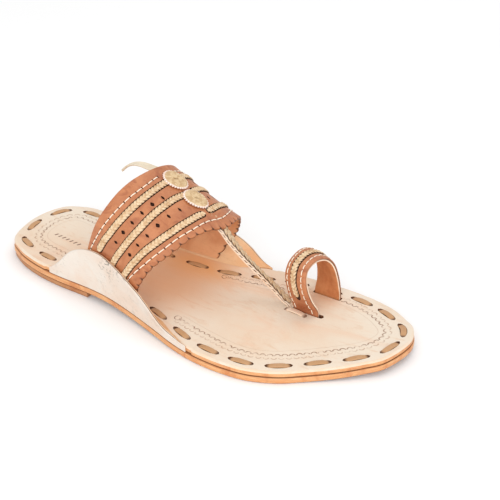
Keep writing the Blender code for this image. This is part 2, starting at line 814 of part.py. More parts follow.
def make_lace(name, path, collection, material):
    """One flat arched stitch of lace over the insole, along a path of floor-plan points."""
    rings = []
    last = len(path) - 1
    for k, point in enumerate(path):
        ahead = path[min(k + 1, last)] - path[max(k - 1, 0)]
        ahead = ahead / np.linalg.norm(ahead)
        over = np.array([-ahead[1], ahead[0]])
        arch = math.sin(math.pi * k / last)
        half = LACE_WIDTH * (0.42 + 0.08 * arch)
        low = float(seat(point[1])) + CLEARANCE
        high = low + LACE_THICK * (0.45 + 0.55 * arch)
        left, right = point - over * half, point + over * half
        rings.append([(*left, low), (*right, low), (*right, high), (*left, high)])
    return new_object(name, loft(name, rings), collection, material)


def make_lacing(collection, material):
    """The stitches at an even pitch round the insole, and the one at the thong's end."""
    curve = lace_curve()
    closed = np.vstack([curve, curve[:1]])
    run = np.concatenate([[0], np.cumsum(np.linalg.norm(np.diff(closed, axis=0), axis=1))])
    count = round(run[-1] / LACE_PITCH)
    spacing = np.array(LACE_SPACING)
    steps = np.linspace(-0.5, 0.5, LACE_SECTIONS + 1) * LACE_LENGTH
    for k in range(count):
        middle = run[-1] * np.interp(k / count, spacing[:, 0], spacing[:, 1])
        places = (middle + steps) % run[-1]
        path = np.stack([np.interp(places, run, closed[:, axis]) for axis in (0, 1)], axis=1)
        make_lace(f"lace_{k + 1:02d}", path, collection, material)
    beside = (loop_foot(0)[0], LOOP_STATION * SOLE_LENGTH)
    rear, front = np.array(ANCHOR_ENDS) * (LACE_WIDTH, LOOP_WIDTH) + beside
    path = [rear + (front - rear) * k / LACE_SECTIONS for k in range(LACE_SECTIONS + 1)]
    make_lace("lace_anchor", path, collection, material)


def move_origin(pieces, guides):
    """Carries every piece so that the middle of the footprint on the floor is the origin."""
    curve = outline()
    middle = 0.5 * (curve.min(axis=0) + curve.max(axis=0))
    root = bpy.data.objects.new("sandal", None)
    pieces.objects.link(root)
    root.location = (-middle[0], -middle[1], 0.0)
    for obj in [*pieces.objects, *guides.objects]:
        if obj is not root:
            obj.parent = root


def main():
    clear_scene()
    parts = make_collection("kolhapuri sandal")
    guides = make_collection("guides")
    finish = {name: make_material(name) for name in FINISHES}
    strap = Strap()
    make_outsole(parts, finish["sole_leather"])
    make_heel_lift(parts, finish["sole_leather"])
    make_insole(parts, guides, finish["insole_leather"])
    make_ear("ear_lateral", 1, parts, finish["ear_leather"])
    make_ear("ear_medial", -1, parts, finish["ear_leather"])
    make_upper(strap, parts, guides, finish["strap_leather"])
    make_toe_loop(parts, finish["strap_leather"])
    for name, across in zip(("rosette_rear", "rosette_front"), ROSETTE_ROWS):
        make_rosette(name, strap, across, parts, finish["rosette_leather"])
    make_lacing(parts, finish["lace_leather"])
    move_origin(parts, guides)


if __name__ == "__main__":
    main()
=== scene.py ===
"""Right toe-loop sandal dressed for the camera: hand-laced leather sole, side ears, braided
instep strap with rosettes, plaited thong, tail and toe loop, built over the fixed frame.

Lengths are metres. Pieces are worked out with the heel end at y = 0 and the floor at z = 0,
and are carried by ORIGIN into the frame's own place as they are cast.
"""
import math
from functools import cached_property, lru_cache

import bmesh
import bpy
import numpy as np
from bpy.props import FloatProperty, FloatVectorProperty, IntProperty, PointerProperty
from bpy.types import Operator, Panel, PropertyGroup
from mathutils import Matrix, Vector


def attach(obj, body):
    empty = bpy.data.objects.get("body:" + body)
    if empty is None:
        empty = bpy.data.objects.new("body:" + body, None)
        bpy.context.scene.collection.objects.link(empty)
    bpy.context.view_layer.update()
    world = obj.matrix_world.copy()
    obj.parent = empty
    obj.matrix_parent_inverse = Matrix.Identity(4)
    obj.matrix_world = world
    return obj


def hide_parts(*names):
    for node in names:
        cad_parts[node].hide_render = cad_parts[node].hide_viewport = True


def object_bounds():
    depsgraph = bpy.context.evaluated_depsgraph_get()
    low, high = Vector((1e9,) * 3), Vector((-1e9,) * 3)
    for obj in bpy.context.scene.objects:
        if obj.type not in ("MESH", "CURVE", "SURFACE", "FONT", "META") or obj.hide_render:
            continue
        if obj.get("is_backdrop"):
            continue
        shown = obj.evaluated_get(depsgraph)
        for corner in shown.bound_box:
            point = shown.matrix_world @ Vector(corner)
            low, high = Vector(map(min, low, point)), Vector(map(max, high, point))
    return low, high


bl_info = {
    "name": "Leather toe-loop sandal",
    "version": (1, 0, 0),
    "blender": (4, 5, 0),
    "location": "View3D > Sidebar > Sandal",
    "description": "Builds a hand-laced leather sandal piece by piece over its frame",
    "category": "Add Mesh",
}

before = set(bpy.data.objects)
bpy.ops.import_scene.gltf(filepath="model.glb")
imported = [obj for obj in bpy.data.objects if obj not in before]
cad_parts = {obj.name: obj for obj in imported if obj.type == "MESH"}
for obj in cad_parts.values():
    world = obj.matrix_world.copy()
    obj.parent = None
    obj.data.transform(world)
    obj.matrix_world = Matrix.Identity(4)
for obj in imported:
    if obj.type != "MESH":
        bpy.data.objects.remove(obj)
FRAME_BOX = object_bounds()

# Sizes of the sole
SOLE_LENGTH = 0.288
BALL_WIDTH = 0.108
OUTSOLE_THICK = 0.0040
INSOLE_THICK = 0.0037
HEEL_LIFT = 0.0037
HEEL_BREAST = 0.085
RAMP_END = 0.177
TOE_ROCKER = 0.234
TOE_SPRING = 0.0045
EDGE_STEP = 0.0005
CLEARANCE = 0.0003

# Sizes of the leather above the sole
EAR_WALL = 0.0024
EAR_HEIGHT = 0.0270
EAR_FLARE = 0.0040
EAR_FEATHER = 0.045
EAR_TIP = 0.0005
POCKET_MARGIN = 0.0040
EAR_ROOM = 0.0007
UPPER_WALL = 0.0024
INSTEP_HEIGHT = 0.0725
THONG_WIDTH = 0.0080
THONG_THICK = 0.0026
THONG_RIDGE = 0.0010
TAIL_WIDTH = 0.0070
TAIL_THICK = 0.0018
LOOP_WALL = 0.0026
LOOP_HEIGHT = 0.0330
LOOP_SPAN = 0.0300
LOOP_WIDTH = 0.0170
ROSETTE_DIAMETER = 0.0162
LACE_WIDTH = 0.0040
LACE_THICK = 0.0010
LACE_LENGTH = 0.0155
LACE_PITCH = 0.0236
LACE_INSET = 0.0090
SPAN_STEPS = 3
FINE_STEPS = 12
LACE_STEPS = 17

# Sizes of cuts and seams that only the trimmings have
SLIT_HALF = 0.00225
SLIT_REACH = 0.0007
SLIT_DEPTH = 0.0021
FOOT_ROOM = 0.0006
CUT_OVER = 0.0015
BRAID_THICK = 0.0020
PLAIT_THICK = 0.0018
EDGE_STITCH = 0.0042
TOOL_PITCH = 0.0043
STRAND_STEP = 0.00042
BRAID_STEP = 0.0006
SLOT_STEP = 0.0011
PEBBLES = 1500
PORES = 2600

# The sole's outline: station as a share of the length, each side's reach from the
# centre line as a share of the ball width.
OUTLINE = [
    # station, outer, inner
    (0.021, 0.206, 0.247), (0.069, 0.301, 0.336), (0.118, 0.346, 0.360), (0.167, 0.370, 0.356),
    (0.219, 0.380, 0.341), (0.267, 0.381, 0.322), (0.316, 0.385, 0.307), (0.365, 0.398, 0.302),
    (0.417, 0.424, 0.308), (0.465, 0.453, 0.327), (0.514, 0.487, 0.353), (0.563, 0.524, 0.386),
    (0.615, 0.553, 0.415), (0.663, 0.564, 0.435), (0.712, 0.560, 0.450), (0.760, 0.538, 0.457),
    (0.813, 0.475, 0.456), (0.861, 0.379, 0.441), (0.910, 0.275, 0.399), (0.951, 0.173, 0.331),
    (0.983, 0.073, 0.256),
]
HEEL_END = (0.0, -0.033)
TOE_END = (1.0, -0.116)

# The ears: station as a share of the sole's length, height above the insole as a share
# of EAR_HEIGHT, outward lean of the top edge as a share of EAR_FLARE.
EAR_OUTER = [
    # station, height, flare
    (0.184, 0.00, 0.00), (0.198, 0.09, 0.05), (0.219, 0.29, 0.15), (0.239, 0.53, 0.25),
    (0.260, 0.73, 0.35), (0.281, 0.85, 0.40), (0.306, 0.94, 0.50), (0.333, 0.98, 0.60),
    (0.361, 0.98, 0.75), (0.389, 0.92, 0.85), (0.417, 0.84, 0.95), (0.444, 0.74, 1.00),
    (0.472, 0.63, 1.00), (0.500, 0.48, 1.00), (0.524, 0.31, 0.90), (0.547, 0.18, 0.75),
    (0.570, 0.09, 0.45), (0.590, 0.04, 0.20), (0.610, 0.00, 0.00),
]
EAR_INNER = [
    # station, height, flare
    (0.198, 0.00, 0.00), (0.216, 0.12, 0.15), (0.237, 0.30, 0.35), (0.260, 0.44, 0.50),
    (0.287, 0.54, 0.75), (0.313, 0.60, 0.95), (0.341, 0.64, 1.15), (0.371, 0.67, 1.35),
    (0.401, 0.69, 1.55), (0.430, 0.69, 1.70), (0.460, 0.67, 1.80), (0.490, 0.60, 1.85),
    (0.515, 0.49, 1.80), (0.539, 0.32, 1.60), (0.559, 0.15, 1.20), (0.579, 0.04, 0.60),
    (0.599, 0.00, 0.00),
]

# The instep strap, from the outer side over the top to the inner side.
INSTEP = [
    # rear across, station, height, front across, station, height, hug
    (0.356, 0.278, 0.000, 0.426, 0.430, 0.000, 1.0), (0.366, 0.292, 0.180, 0.431, 0.446, 0.139, 1.0),
    (0.373, 0.306, 0.374, 0.432, 0.462, 0.280, 0.8), (0.364, 0.332, 0.638, 0.394, 0.481, 0.436, 0.0),
    (0.315, 0.364, 0.870, 0.319, 0.511, 0.566, 0.0), (0.213, 0.380, 0.981, 0.204, 0.531, 0.659, 0.0),
    (0.083, 0.389, 1.012, 0.074, 0.548, 0.683, 0.0), (-0.046, 0.394, 0.997, -0.046, 0.561, 0.643, 0.0),
    (-0.167, 0.391, 0.924, -0.157, 0.557, 0.622, 0.0),
    (-0.259, 0.375, 0.797, -0.254, 0.545, 0.572, 0.0),
    (-0.315, 0.350, 0.626, -0.329, 0.529, 0.487, 0.0),
    (-0.338, 0.323, 0.430, -0.380, 0.514, 0.360, 0.3),
    (-0.334, 0.299, 0.248, -0.398, 0.502, 0.233, 1.0),
    (-0.315, 0.281, 0.110, -0.389, 0.486, 0.112, 1.0),
    (-0.296, 0.267, 0.000, -0.370, 0.472, 0.000, 1.0),
]

# The braids let into the strap, each as its middle line: share along, share across.
BRAIDS = [
    [(0.155, 0.207), (0.20, 0.240), (0.23, 0.262), (0.30, 0.267), (0.38, 0.272), (0.43, 0.262),
     (0.47, 0.245), (0.515, 0.225)],
    [(0.07, 0.460), (0.15, 0.500), (0.18, 0.515), (0.21, 0.533), (0.25, 0.532), (0.30, 0.522),
     (0.36, 0.508), (0.42, 0.495), (0.47, 0.475), (0.522, 0.460)],
    [(0.07, 0.700), (0.155, 0.755), (0.19, 0.770), (0.22, 0.785), (0.28, 0.785), (0.33, 0.797),
     (0.38, 0.815), (0.44, 0.810), (0.475, 0.795), (0.508, 0.775)],
    [(0.572, 0.205), (0.62, 0.215), (0.68, 0.230), (0.76, 0.240), (0.82, 0.225), (0.86, 0.200)],
    [(0.570, 0.440), (0.62, 0.445), (0.68, 0.470), (0.76, 0.490), (0.84, 0.470), (0.93, 0.440)],
    [(0.552, 0.742), (0.60, 0.742), (0.66, 0.758), (0.74, 0.775), (0.82, 0.760), (0.93, 0.700)],
]
# The rows of holes: share along and across of the first and the last hole, and their number.
HOLES = [
    (0.216, 0.400, 0.442, 0.395, 6), (0.214, 0.665, 0.453, 0.625, 6), (0.630, 0.325, 0.810, 0.350, 5),
    (0.612, 0.592, 0.800, 0.625, 5),
]
# The two lines of running stitches on the strap: share along, share across.
REAR_STITCHES = [(0.09, 0.030), (0.155, 0.078), (0.20, 0.112), (0.25, 0.132), (0.31, 0.145),
                 (0.36, 0.152), (0.40, 0.160), (0.44, 0.152), (0.50, 0.125), (0.58, 0.120),
                 (0.65, 0.132), (0.74, 0.132), (0.82, 0.112), (0.91, 0.070)]
FRONT_STITCHES = [(0.105, 0.815), (0.155, 0.855), (0.20, 0.895), (0.23, 0.915), (0.30, 0.912),
                  (0.36, 0.920), (0.42, 0.930), (0.48, 0.905), (0.53, 0.880), (0.58, 0.895),
                  (0.62, 0.890), (0.70, 0.875), (0.80, 0.885), (0.88, 0.850)]
ROSETTE_ROWS = (0.25, 0.565)
ROSETTE_ALONG = 0.538

# Centre line of the thong and the tail: across as a share of BALL_WIDTH, station as a
# share of SOLE_LENGTH, height above the insole as a share of INSTEP_HEIGHT, width as a
# share of the strip's width, and the tilt of its face towards the inner side in degrees.
THONG = [
    # across, station, height, width, tilt
    (-0.041, 0.505, 0.726, 0.90, 0), (-0.043, 0.529, 0.675, 1.00, 4), (-0.046, 0.556, 0.602, 1.00, 12),
    (-0.056, 0.580, 0.480, 1.00, 24), (-0.073, 0.616, 0.335, 1.00, 32),
    (-0.088, 0.651, 0.218, 1.00, 30), (-0.104, 0.684, 0.107, 0.95, 18),
    (-0.114, 0.699, 0.048, 0.80, 6), (-0.116, 0.709, 0.016, 0.60, 0), (-0.116, 0.712, -0.010, 0.55, 0),
    (-0.116, 0.712, -0.045, 0.55, 0),
]
TAIL = [
    # across, station, height, width, tilt
    (-0.046, 0.435, 0.867, 0.85, 0), (-0.044, 0.412, 0.912, 0.95, 0), (-0.042, 0.391, 0.949, 1.00, 0),
    (-0.039, 0.366, 0.945, 0.95, 0), (-0.036, 0.336, 0.935, 0.80, 0), (-0.033, 0.309, 0.905, 0.50, 0),
    (-0.030, 0.288, 0.865, 0.08, 0),
]

# The toe loop, from its outer foot over the top to its inner foot.
LOOP_ACROSS = -0.224
LOOP_STATION = 0.754
TOE_LOOP = [
    # rear reach, front reach, height, rear, front
    (0.450, 0.450, -0.10, -0.53, 0.50), (0.450, 0.450, 0.00, -0.53, 0.50),
    (0.450, 0.460, 0.09, -0.58, 0.47), (0.507, 0.590, 0.30, -0.70, 0.38),
    (0.540, 0.673, 0.55, -0.79, 0.26), (0.523, 0.673, 0.76, -0.85, 0.17),
    (0.373, 0.523, 0.93, -0.88, 0.05), (0.107, 0.273, 1.00, -0.88, 0.02),
    (-0.160, 0.007, 1.00, -0.85, 0.08), (-0.410, -0.243, 0.91, -0.76, 0.20),
    (-0.560, -0.393, 0.73, -0.64, 0.35), (-0.593, -0.427, 0.49, -0.53, 0.50),
    (-0.543, -0.420, 0.24, -0.47, 0.61), (-0.450, -0.430, 0.08, -0.46, 0.62),
    (-0.430, -0.430, 0.00, -0.46, 0.62), (-0.430, -0.430, -0.10, -0.46, 0.62),
]
# The toe loop's braid and its two lines of thread: share along, share across.
LOOP_BRAID = [(0.235, 0.46), (0.32, 0.44), (0.42, 0.42), (0.52, 0.44), (0.62, 0.50), (0.78, 0.52)]
LOOP_STITCHES = [
    [(0.10, 0.13), (0.3, 0.14), (0.5, 0.13), (0.7, 0.13), (0.90, 0.13)],
    [(0.08, 0.80), (0.3, 0.80), (0.5, 0.80), (0.7, 0.81), (0.91, 0.81)],
]

# The lacing's distance inside the sole's edge, as shares of LACE_INSET, and its spacing.
LACE_LINE = [
    # station, outer, inner
    (0.00, 0.65, 0.65), (0.10, 0.90, 0.85), (0.20, 1.00, 1.10), (0.35, 1.25, 1.80), (0.50, 1.05, 1.80),
    (0.60, 0.80, 1.40), (0.70, 0.72, 1.00), (0.80, 0.68, 0.78), (0.90, 0.78, 0.78), (1.00, 0.68, 0.68),
]
LACE_SPACING = [
    # share of the stitches counted from the heel, share of the line's length
    (0.000, 0.011), (0.074, 0.089), (0.259, 0.285), (0.481, 0.499), (0.593, 0.600), (0.778, 0.777),
    (0.926, 0.934), (1.000, 1.011),
]
ANCHOR_ENDS = [
    # across from the foot's face as a share of LACE_WIDTH, along as a share of LOOP_WIDTH
    (0.62, -0.78), (0.89, 0.14),
]
# The tooled border's distance inside the sole's edge, as shares of LACE_INSET.
TOOL_LINE = [
    # station, outer, inner
    (0.00, 1.60, 1.60), (0.06, 1.70, 1.70), (0.09, 1.90, 1.45), (0.14, 2.05, 1.95), (0.30, 2.20, 2.30),
    (0.50, 1.65, 2.35), (0.55, 1.85, 2.32), (0.60, 2.05, 2.40), (0.66, 1.85, 2.10), (0.73, 1.71, 1.70),
    (0.79, 1.72, 1.42), (0.85, 1.80, 1.55), (0.90, 1.98, 1.60), (0.92, 2.12, 1.65), (0.95, 1.95, 1.78),
    (1.00, 1.85, 1.80),
]
# The stretches of the border that are tooled: side and station of each end.
TOOLED = [((-1, 0.150), (1, 0.185)), ((1, 0.535), (-1, 0.795)), ((-1, 0.720), (-1, 0.532))]
# The middles of the first and the last dash on the heel seat.
DASH_ENDS = [(0.0051, 0.0291), (0.0072, 0.0506)]


def screen(red, green, blue):
    """The linear colour of a colour read off a screen in steps of 1/255."""
    shares = (value / 255 for value in (red, green, blue))
    return tuple(s / 12.92 if s < 0.0405 else ((s + 0.055) / 1.055) ** 2.4 for s in shares)


def length_size(name, default, description):
    return FloatProperty(name=name, description=description, default=default, min=0.0, unit="LENGTH",
                         precision=5)


def leather_colour(name, default, description):
    return FloatVectorProperty(name=name, description=description, default=screen(*default), size=3,
                               min=0.0, max=1.0, subtype="COLOR")


class SandalSizes(PropertyGroup):
    """Sizes of the trimmings"""

    braid_width: length_size("Braid width", 0.0047, "Width of the braids on strap and loop")
    braid_pitch: length_size("Braid pitch", 0.0072, "Length over which a braid repeats")
    slot_room: length_size("Slot room", 0.00030, "Gap left beside a braid in its slot")
    slot_depth: length_size("Slot depth", 0.0011, "How deep the braids' slots are cut")
    thread_width: length_size("Thread width", 0.00078, "Width of the sewing thread")
    rear_stitch: length_size("Rear stitch", 0.0048, "Pitch of the stitches along the rear edge")
    front_stitch: length_size("Front stitch", 0.0053, "Pitch of the stitches along the front edge")
    lobe_depth: length_size("Lobe depth", 0.0022, "Depth of the scallops on the front edge")
    hole_length: length_size("Hole length", 0.0037, "Length of the punched lozenge holes")
    plait_width: length_size("Plait width", 0.0062, "Width of the plait on the thong")
    plait_pitch: length_size("Plait pitch", 0.0125, "Length over which the thong's plait repeats")
    lobes: IntProperty(name="Lobes", description="Number of scallops on the front edge", default=31, min=4)
    rosette_teeth: IntProperty(name="Rosette teeth", description="Pinked teeth round each rosette",
                               default=30, min=6)


class SandalColours(PropertyGroup):
    """Colours of the leathers and the thread"""

    insole: leather_colour("Insole", (230, 215, 196), "Undyed insole leather")
    insole_warm: leather_colour("Insole stain", (236, 178, 124), "Oiled and shaded insole leather")
    edge: leather_colour("Sole edge", (214, 146, 92), "Waxed cut edge of the sole")
    # Real brown flecks in the edge, and also the painted shade in its seams, on the heel lift and on the
    # underside.
    edge_dirt_and_shade: leather_colour("Edge flecks and shade", (138, 84, 50), "Brown flecks, and painted shade in the seams and low places")
    ear: leather_colour("Ear", (224, 214, 203), "Flesh side of the ears")
    ear_lining: leather_colour("Ear lining", (232, 190, 146), "Inner face of the ears")
    strap: leather_colour("Strap", (180, 112, 72), "Dyed leather of the strap and toe loop")
    strap_dark: leather_colour("Strap shade", (154, 86, 54), "Darker places of the dyed leather")
    # Dark painted shade for the insides of slots, slits and holes, and for the strap's painted shade.
    slot: leather_colour("Slot walls", (66, 34, 20), "Cut walls of slots and holes")
    braid: leather_colour("Braid", (225, 197, 160), "Undyed braid leather")
    thread: leather_colour("Thread", (250, 234, 212), "Sewing thread")
    rosette: leather_colour("Rosette", (194, 160, 116), "Straw-coloured rosette leather")
    lace: leather_colour("Lace", (192, 148, 106), "Lacing thong leather")


# Curves and heights of the sole


def smoothstep(value):
    value = np.clip(value, 0.0, 1.0)
    return value * value * (3.0 - 2.0 * value)


def catmull(points, places):
    """Points on the smooth curve through the rows of points, at places in row numbers."""
    points = np.asarray(points, float)
    ends = np.vstack([2 * points[0] - points[1], points, 2 * points[-1] - points[-2]])
    places = np.clip(np.asarray(places, float), 0.0, len(points) - 1.0)
    spans = np.minimum(places.astype(int), len(points) - 2)
    t = (places - spans)[:, None]
    a, b, c, d = (ends[spans + k] for k in range(4))
    return 0.5 * (2 * b + (c - a) * t + (2 * a - 5 * b + 4 * c - d) * t ** 2
                  + (3 * b - a - 3 * c + d) * t ** 3)


def unit(vectors):
    return vectors / np.maximum(np.linalg.norm(vectors, axis=-1, keepdims=True), 1e-12)


def run_of(points):
    """How far each point lies along the line through the points."""
    return np.concatenate([[0.0], np.cumsum(np.linalg.norm(np.diff(points, axis=0), axis=1))])


def heading(path):
    """The direction in which a path runs at each of its points."""
    return unit(np.gradient(path, axis=0))


def sample(places, run, table):
    """Rows of a table, read at places on the run that its rows follow."""
    return np.stack([np.interp(places, run, column) for column in np.transpose(table)], axis=1)


@lru_cache(maxsize=None)
def outline(steps=FINE_STEPS):
    """The sole's edge from the heel end along the outer side, the toe and back."""
    outer = [(out * BALL_WIDTH, y * SOLE_LENGTH) for y, out, _ in OUTLINE]
    inner = [(-inn * BALL_WIDTH, y * SOLE_LENGTH) for y, _, inn in OUTLINE]
    heel = (HEEL_END[1] * BALL_WIDTH, HEEL_END[0] * SOLE_LENGTH)
    toe = (TOE_END[1] * BALL_WIDTH, TOE_END[0] * SOLE_LENGTH)
    points = np.array([heel] + outer + [toe] + inner[::-1])
    wrapped = np.vstack([points[-2:], points, points[:3]])
    return catmull(wrapped, 2 + np.arange(len(points) * steps) / steps)


PLAIN_OUTLINE = outline(SPAN_STEPS)
ORIGIN = np.array([*(-0.5 * (PLAIN_OUTLINE.min(axis=0) + PLAIN_OUTLINE.max(axis=0))), 0.0])


def inward(curve, distance):
    """The closed curve moved inwards by a distance that may change along it."""
    tangent = np.roll(curve, -1, axis=0) - np.roll(curve, 1, axis=0)
    normal = unit(np.stack([-tangent[:, 1], tangent[:, 0]], axis=1))
    return curve + normal * np.reshape(distance, (-1, 1))


def softened(curve, reach):
    """The closed curve with its corners rounded over a number of neighbouring points."""
    weights = np.exp(-0.5 * (np.arange(-2 * reach, 2 * reach + 1) / reach) ** 2)
    moved = (np.roll(curve, k - 2 * reach, axis=0) * w for k, w in enumerate(weights))
    return sum(moved) / weights.sum()


def by_side(curve, outer, inner):
    """Values along the outline, from one row for its outer side and one for its inner side."""
    return np.where(np.arange(len(curve)) < len(curve) // 2, outer, inner)


def edge_x(y, side):
    """Where the sole's edge lies at station y, on side +1 (outer) or -1 (inner)."""
    curve = outline()
    half = len(curve) // 2
    branch = curve[:half + 1] if side > 0 else np.vstack([curve[half:], curve[:1]])[::-1]
    return np.interp(y, branch[:, 1], branch[:, 0])


def sole_rise(y):
    """Height of the outsole's underside over the floor: heel lift, arch and toe spring."""
    y = np.asarray(y, float)
    ramp = smoothstep((RAMP_END - y) / (RAMP_END - HEEL_BREAST))
    spring = np.clip((y - TOE_ROCKER) / (SOLE_LENGTH - TOE_ROCKER), 0.0, 1.0) ** 2
    return (HEEL_LIFT + CLEARANCE) * ramp + TOE_SPRING * spring


def ear_foot(y):
    return sole_rise(y) + OUTSOLE_THICK + CLEARANCE


def seat(y):
    """Height of the insole's upper face."""
    return ear_foot(y) + INSOLE_THICK


def inset_line(table, curve):
    """How far inside the sole's edge a line lies whose distance from it follows a table."""
    stations, outer, inner = np.transpose(table)
    own = curve[:, 1] / SOLE_LENGTH
    reach = by_side(curve, np.interp(own, stations, outer), np.interp(own, stations, inner))
    return EDGE_STEP + LACE_INSET * reach


# The ears


def ear_table(side):
    return np.array(EAR_OUTER if side > 0 else EAR_INNER)


def ear_wall(y, side):
    """The ear's thickness, which feathers out towards its two ends."""
    station = np.asarray(y, float) / SOLE_LENGTH
    table = ear_table(side)
    inside = np.minimum(station - table[0, 0], table[-1, 0] - station)
    return np.maximum(EAR_WALL * smoothstep(inside / EAR_FEATHER), EAR_TIP)


def ear_pocket(y, side):
    """How far the insole steps in behind the ear, from a little before its ends."""
    table = ear_table(side)
    before = table[0, 0] * SOLE_LENGTH - POCKET_MARGIN
    after = table[-1, 0] * SOLE_LENGTH + POCKET_MARGIN
    return np.where((before < y) & (y < after), ear_wall(y, side) + CLEARANCE, 0.0)


def ear_row(y, side):
    """Height over the insole and outward lean of the ear's top edge at station y."""
    table = ear_table(side)
    places = np.interp(np.asarray(y, float) / SOLE_LENGTH, table[:, 0], np.arange(len(table)))
    rows = catmull(table, np.atleast_1d(places))
    return np.maximum(rows[:, 1], 0.0) * EAR_HEIGHT, np.maximum(rows[:, 2], 0.0) * EAR_FLARE


def ear_lean(y, z, side):
    """How far the ear leans out at height z, beyond the sole's own edge."""
    height, flare = ear_row(y, side)
    share = np.clip((z - seat(y)) / np.maximum(height, EAR_TIP), 0.0, 1.0)
    return flare * share ** 1.4


def ear_inside(y, z, side):
    """Where a strap that lies against the ear's inner face has its outer face."""
    face = np.abs(edge_x(y, side)) - EDGE_STEP - ear_wall(y, side) - EAR_ROOM
    return side * (face + ear_lean(y, z, side))


# Faces that carry trimmings


def between(grid, rows, columns):
    """Values of a grid at places between its rows and columns."""
    rows = np.clip(rows, 0, grid.shape[0] - 1.0001)
    columns = np.clip(columns, 0, grid.shape[1] - 1.0001)
    i, j = rows.astype(int), columns.astype(int)
    u, v = (rows - i)[..., None], (columns - j)[..., None]
    low = grid[i, j] * (1 - v) + grid[i, j + 1] * v
    high = grid[i + 1, j] * (1 - v) + grid[i + 1, j + 1] * v
    return low * (1 - u) + high * u


class Face:
    """A leather's outer face as a fine grid, on which places are shares along and across."""

    MARGIN = 0.08

    def __init__(self, rows_at, places, breadth=61):
        across = np.linspace(-self.MARGIN, 1 + self.MARGIN, breadth)
        self.grid = np.stack([catmull(rows_at(c), places) for c in across], axis=1)
        ahead = np.gradient(self.grid, axis=0)
        over = np.gradient(self.grid, axis=1)
        self.normals = unit(np.cross(over, ahead))
        self.length = run_of(self.grid[:, breadth // 2])[-1]
        low, high = self.at(0.5, 0.0), self.at(0.5, 1.0)
        self.width = float(np.linalg.norm(high - low))

    def places(self, along, across):
        along, across = np.broadcast_arrays(np.asarray(along, float), np.asarray(across, float))
        rows = along * (self.grid.shape[0] - 1)
        share = (across + self.MARGIN) / (1 + 2 * self.MARGIN)
        return rows, share * (self.grid.shape[1] - 1)

    def normal(self, along, across):
        return unit(between(self.normals, *self.places(along, across)))

    def at(self, along, across, height=0.0):
        """Points at shares along and across the face, lifted off it by a height."""
        rows, columns = self.places(along, across)
        lift = np.broadcast_to(np.asarray(height, float), rows.shape)[..., None]
        return between(self.grid, rows, columns) + lift * unit(between(self.normals, rows, columns))

    def line(self, table, step):
        """Shares along and across of evenly spaced points on a line drawn on the face."""
        shares = catmull(table, np.linspace(0, len(table) - 1, 60 * len(table)))
        run = run_of(self.at(shares[:, 0], shares[:, 1]))
        count = max(int(round(run[-1] / step)), 2)
        return sample(np.linspace(0, run[-1], count + 1), run, shares)

    def follow(self, shares, height=0.0):
        """The points and the normals at rows of shares along and across."""
        along, across = np.transpose(shares)
        return self.at(along, across, height), self.normal(along, across)


def strap_rows(across):
    """The strap's rows at one place across it, 0 at the rear edge and 1 at the front."""
    rows = []
    for rear_x, rear_y, rear_h, front_x, front_y, front_h, hug in INSTEP:
        y = SOLE_LENGTH * (rear_y + (front_y - rear_y) * across)
        height = INSTEP_HEIGHT * (rear_h + (front_h - rear_h) * across)
        z = float(seat(y)) + CLEARANCE + height
        x = BALL_WIDTH * (rear_x + (front_x - rear_x) * across)
        side = 1 if x > 0 else -1
        leaning = float(ear_inside(y, z, side)[0])
        rows.append((x + (leaning - x) * hug, y, z))
    return rows


def loop_rows(across):
    """The toe loop's rows at one place across it, 0 at the rear edge and 1 at the front."""
    rows = []
    for rear_reach, front_reach, height, rear, front in TOE_LOOP:
        reach = rear_reach + (front_reach - rear_reach) * across
        y = LOOP_STATION * SOLE_LENGTH + LOOP_WIDTH * (rear + (front - rear) * across)
        x = LOOP_ACROSS * BALL_WIDTH + LOOP_SPAN * reach
        rows.append((x, y, float(seat(y)) + CLEARANCE + LOOP_HEIGHT * height))
    return rows


@lru_cache(maxsize=None)
def strap_face():
    fine = np.linspace(0, len(INSTEP) - 1, 400)
    run = run_of(catmull(strap_rows(0.5), fine))
    return Face(strap_rows, np.interp(np.linspace(0, 1, 721), run / run[-1], fine), 109)


@lru_cache(maxsize=None)
def loop_face():
    return Face(loop_rows, np.linspace(0, len(TOE_LOOP) - 1, 321), 41)


def loop_foot(row):
    """Outer face x, rear y and front y of one foot of the toe loop."""
    reach, _, _, rear, front = TOE_LOOP[row]
    middle = LOOP_STATION * SOLE_LENGTH
    x = LOOP_ACROSS * BALL_WIDTH + LOOP_SPAN * reach
    return x, middle + LOOP_WIDTH * rear, middle + LOOP_WIDTH * front


def strip_centres(table):
    centres = []
    for across, station, height, _, _ in table:
        y = station * SOLE_LENGTH
        centres.append((across * BALL_WIDTH, y, float(seat(y)) + CLEARANCE + height * INSTEP_HEIGHT))
    return np.array(centres)


@lru_cache(maxsize=None)
def thong_centres():
    """The thong's centre points, led so that its end goes down just behind the toe loop."""
    centres = strip_centres(THONG)
    room = 0.5 * THONG_THICK + THONG_RIDGE + 2 * CLEARANCE
    pull = loop_foot(0)[1] - room - centres[-1, 1]
    centres[:, 1] += pull * (np.arange(len(centres)) / (len(centres) - 1)) ** 3
    centres[-1, 2] = float(ear_foot(centres[-1, 1])) + CLEARANCE
    return centres


def strip_frames(table, centres, steps):
    """A flat strip's centre points, its sideways and upward directions and its width shares."""
    places = np.linspace(0, len(table) - 1, steps * (len(table) - 1) + 1)
    path = catmull(centres, places)
    shape = catmull([(row[3], row[4]) for row in table], places)
    ahead = heading(path)
    tilt = np.radians(shape[:, 1])
    flat = np.stack([np.cos(tilt), np.zeros(len(tilt)), np.sin(tilt)], axis=1)
    flat = unit(flat - ahead * (flat * ahead).sum(axis=1, keepdims=True))
    return path, flat, np.cross(flat, ahead), np.maximum(shape[:, 0], 0.05)


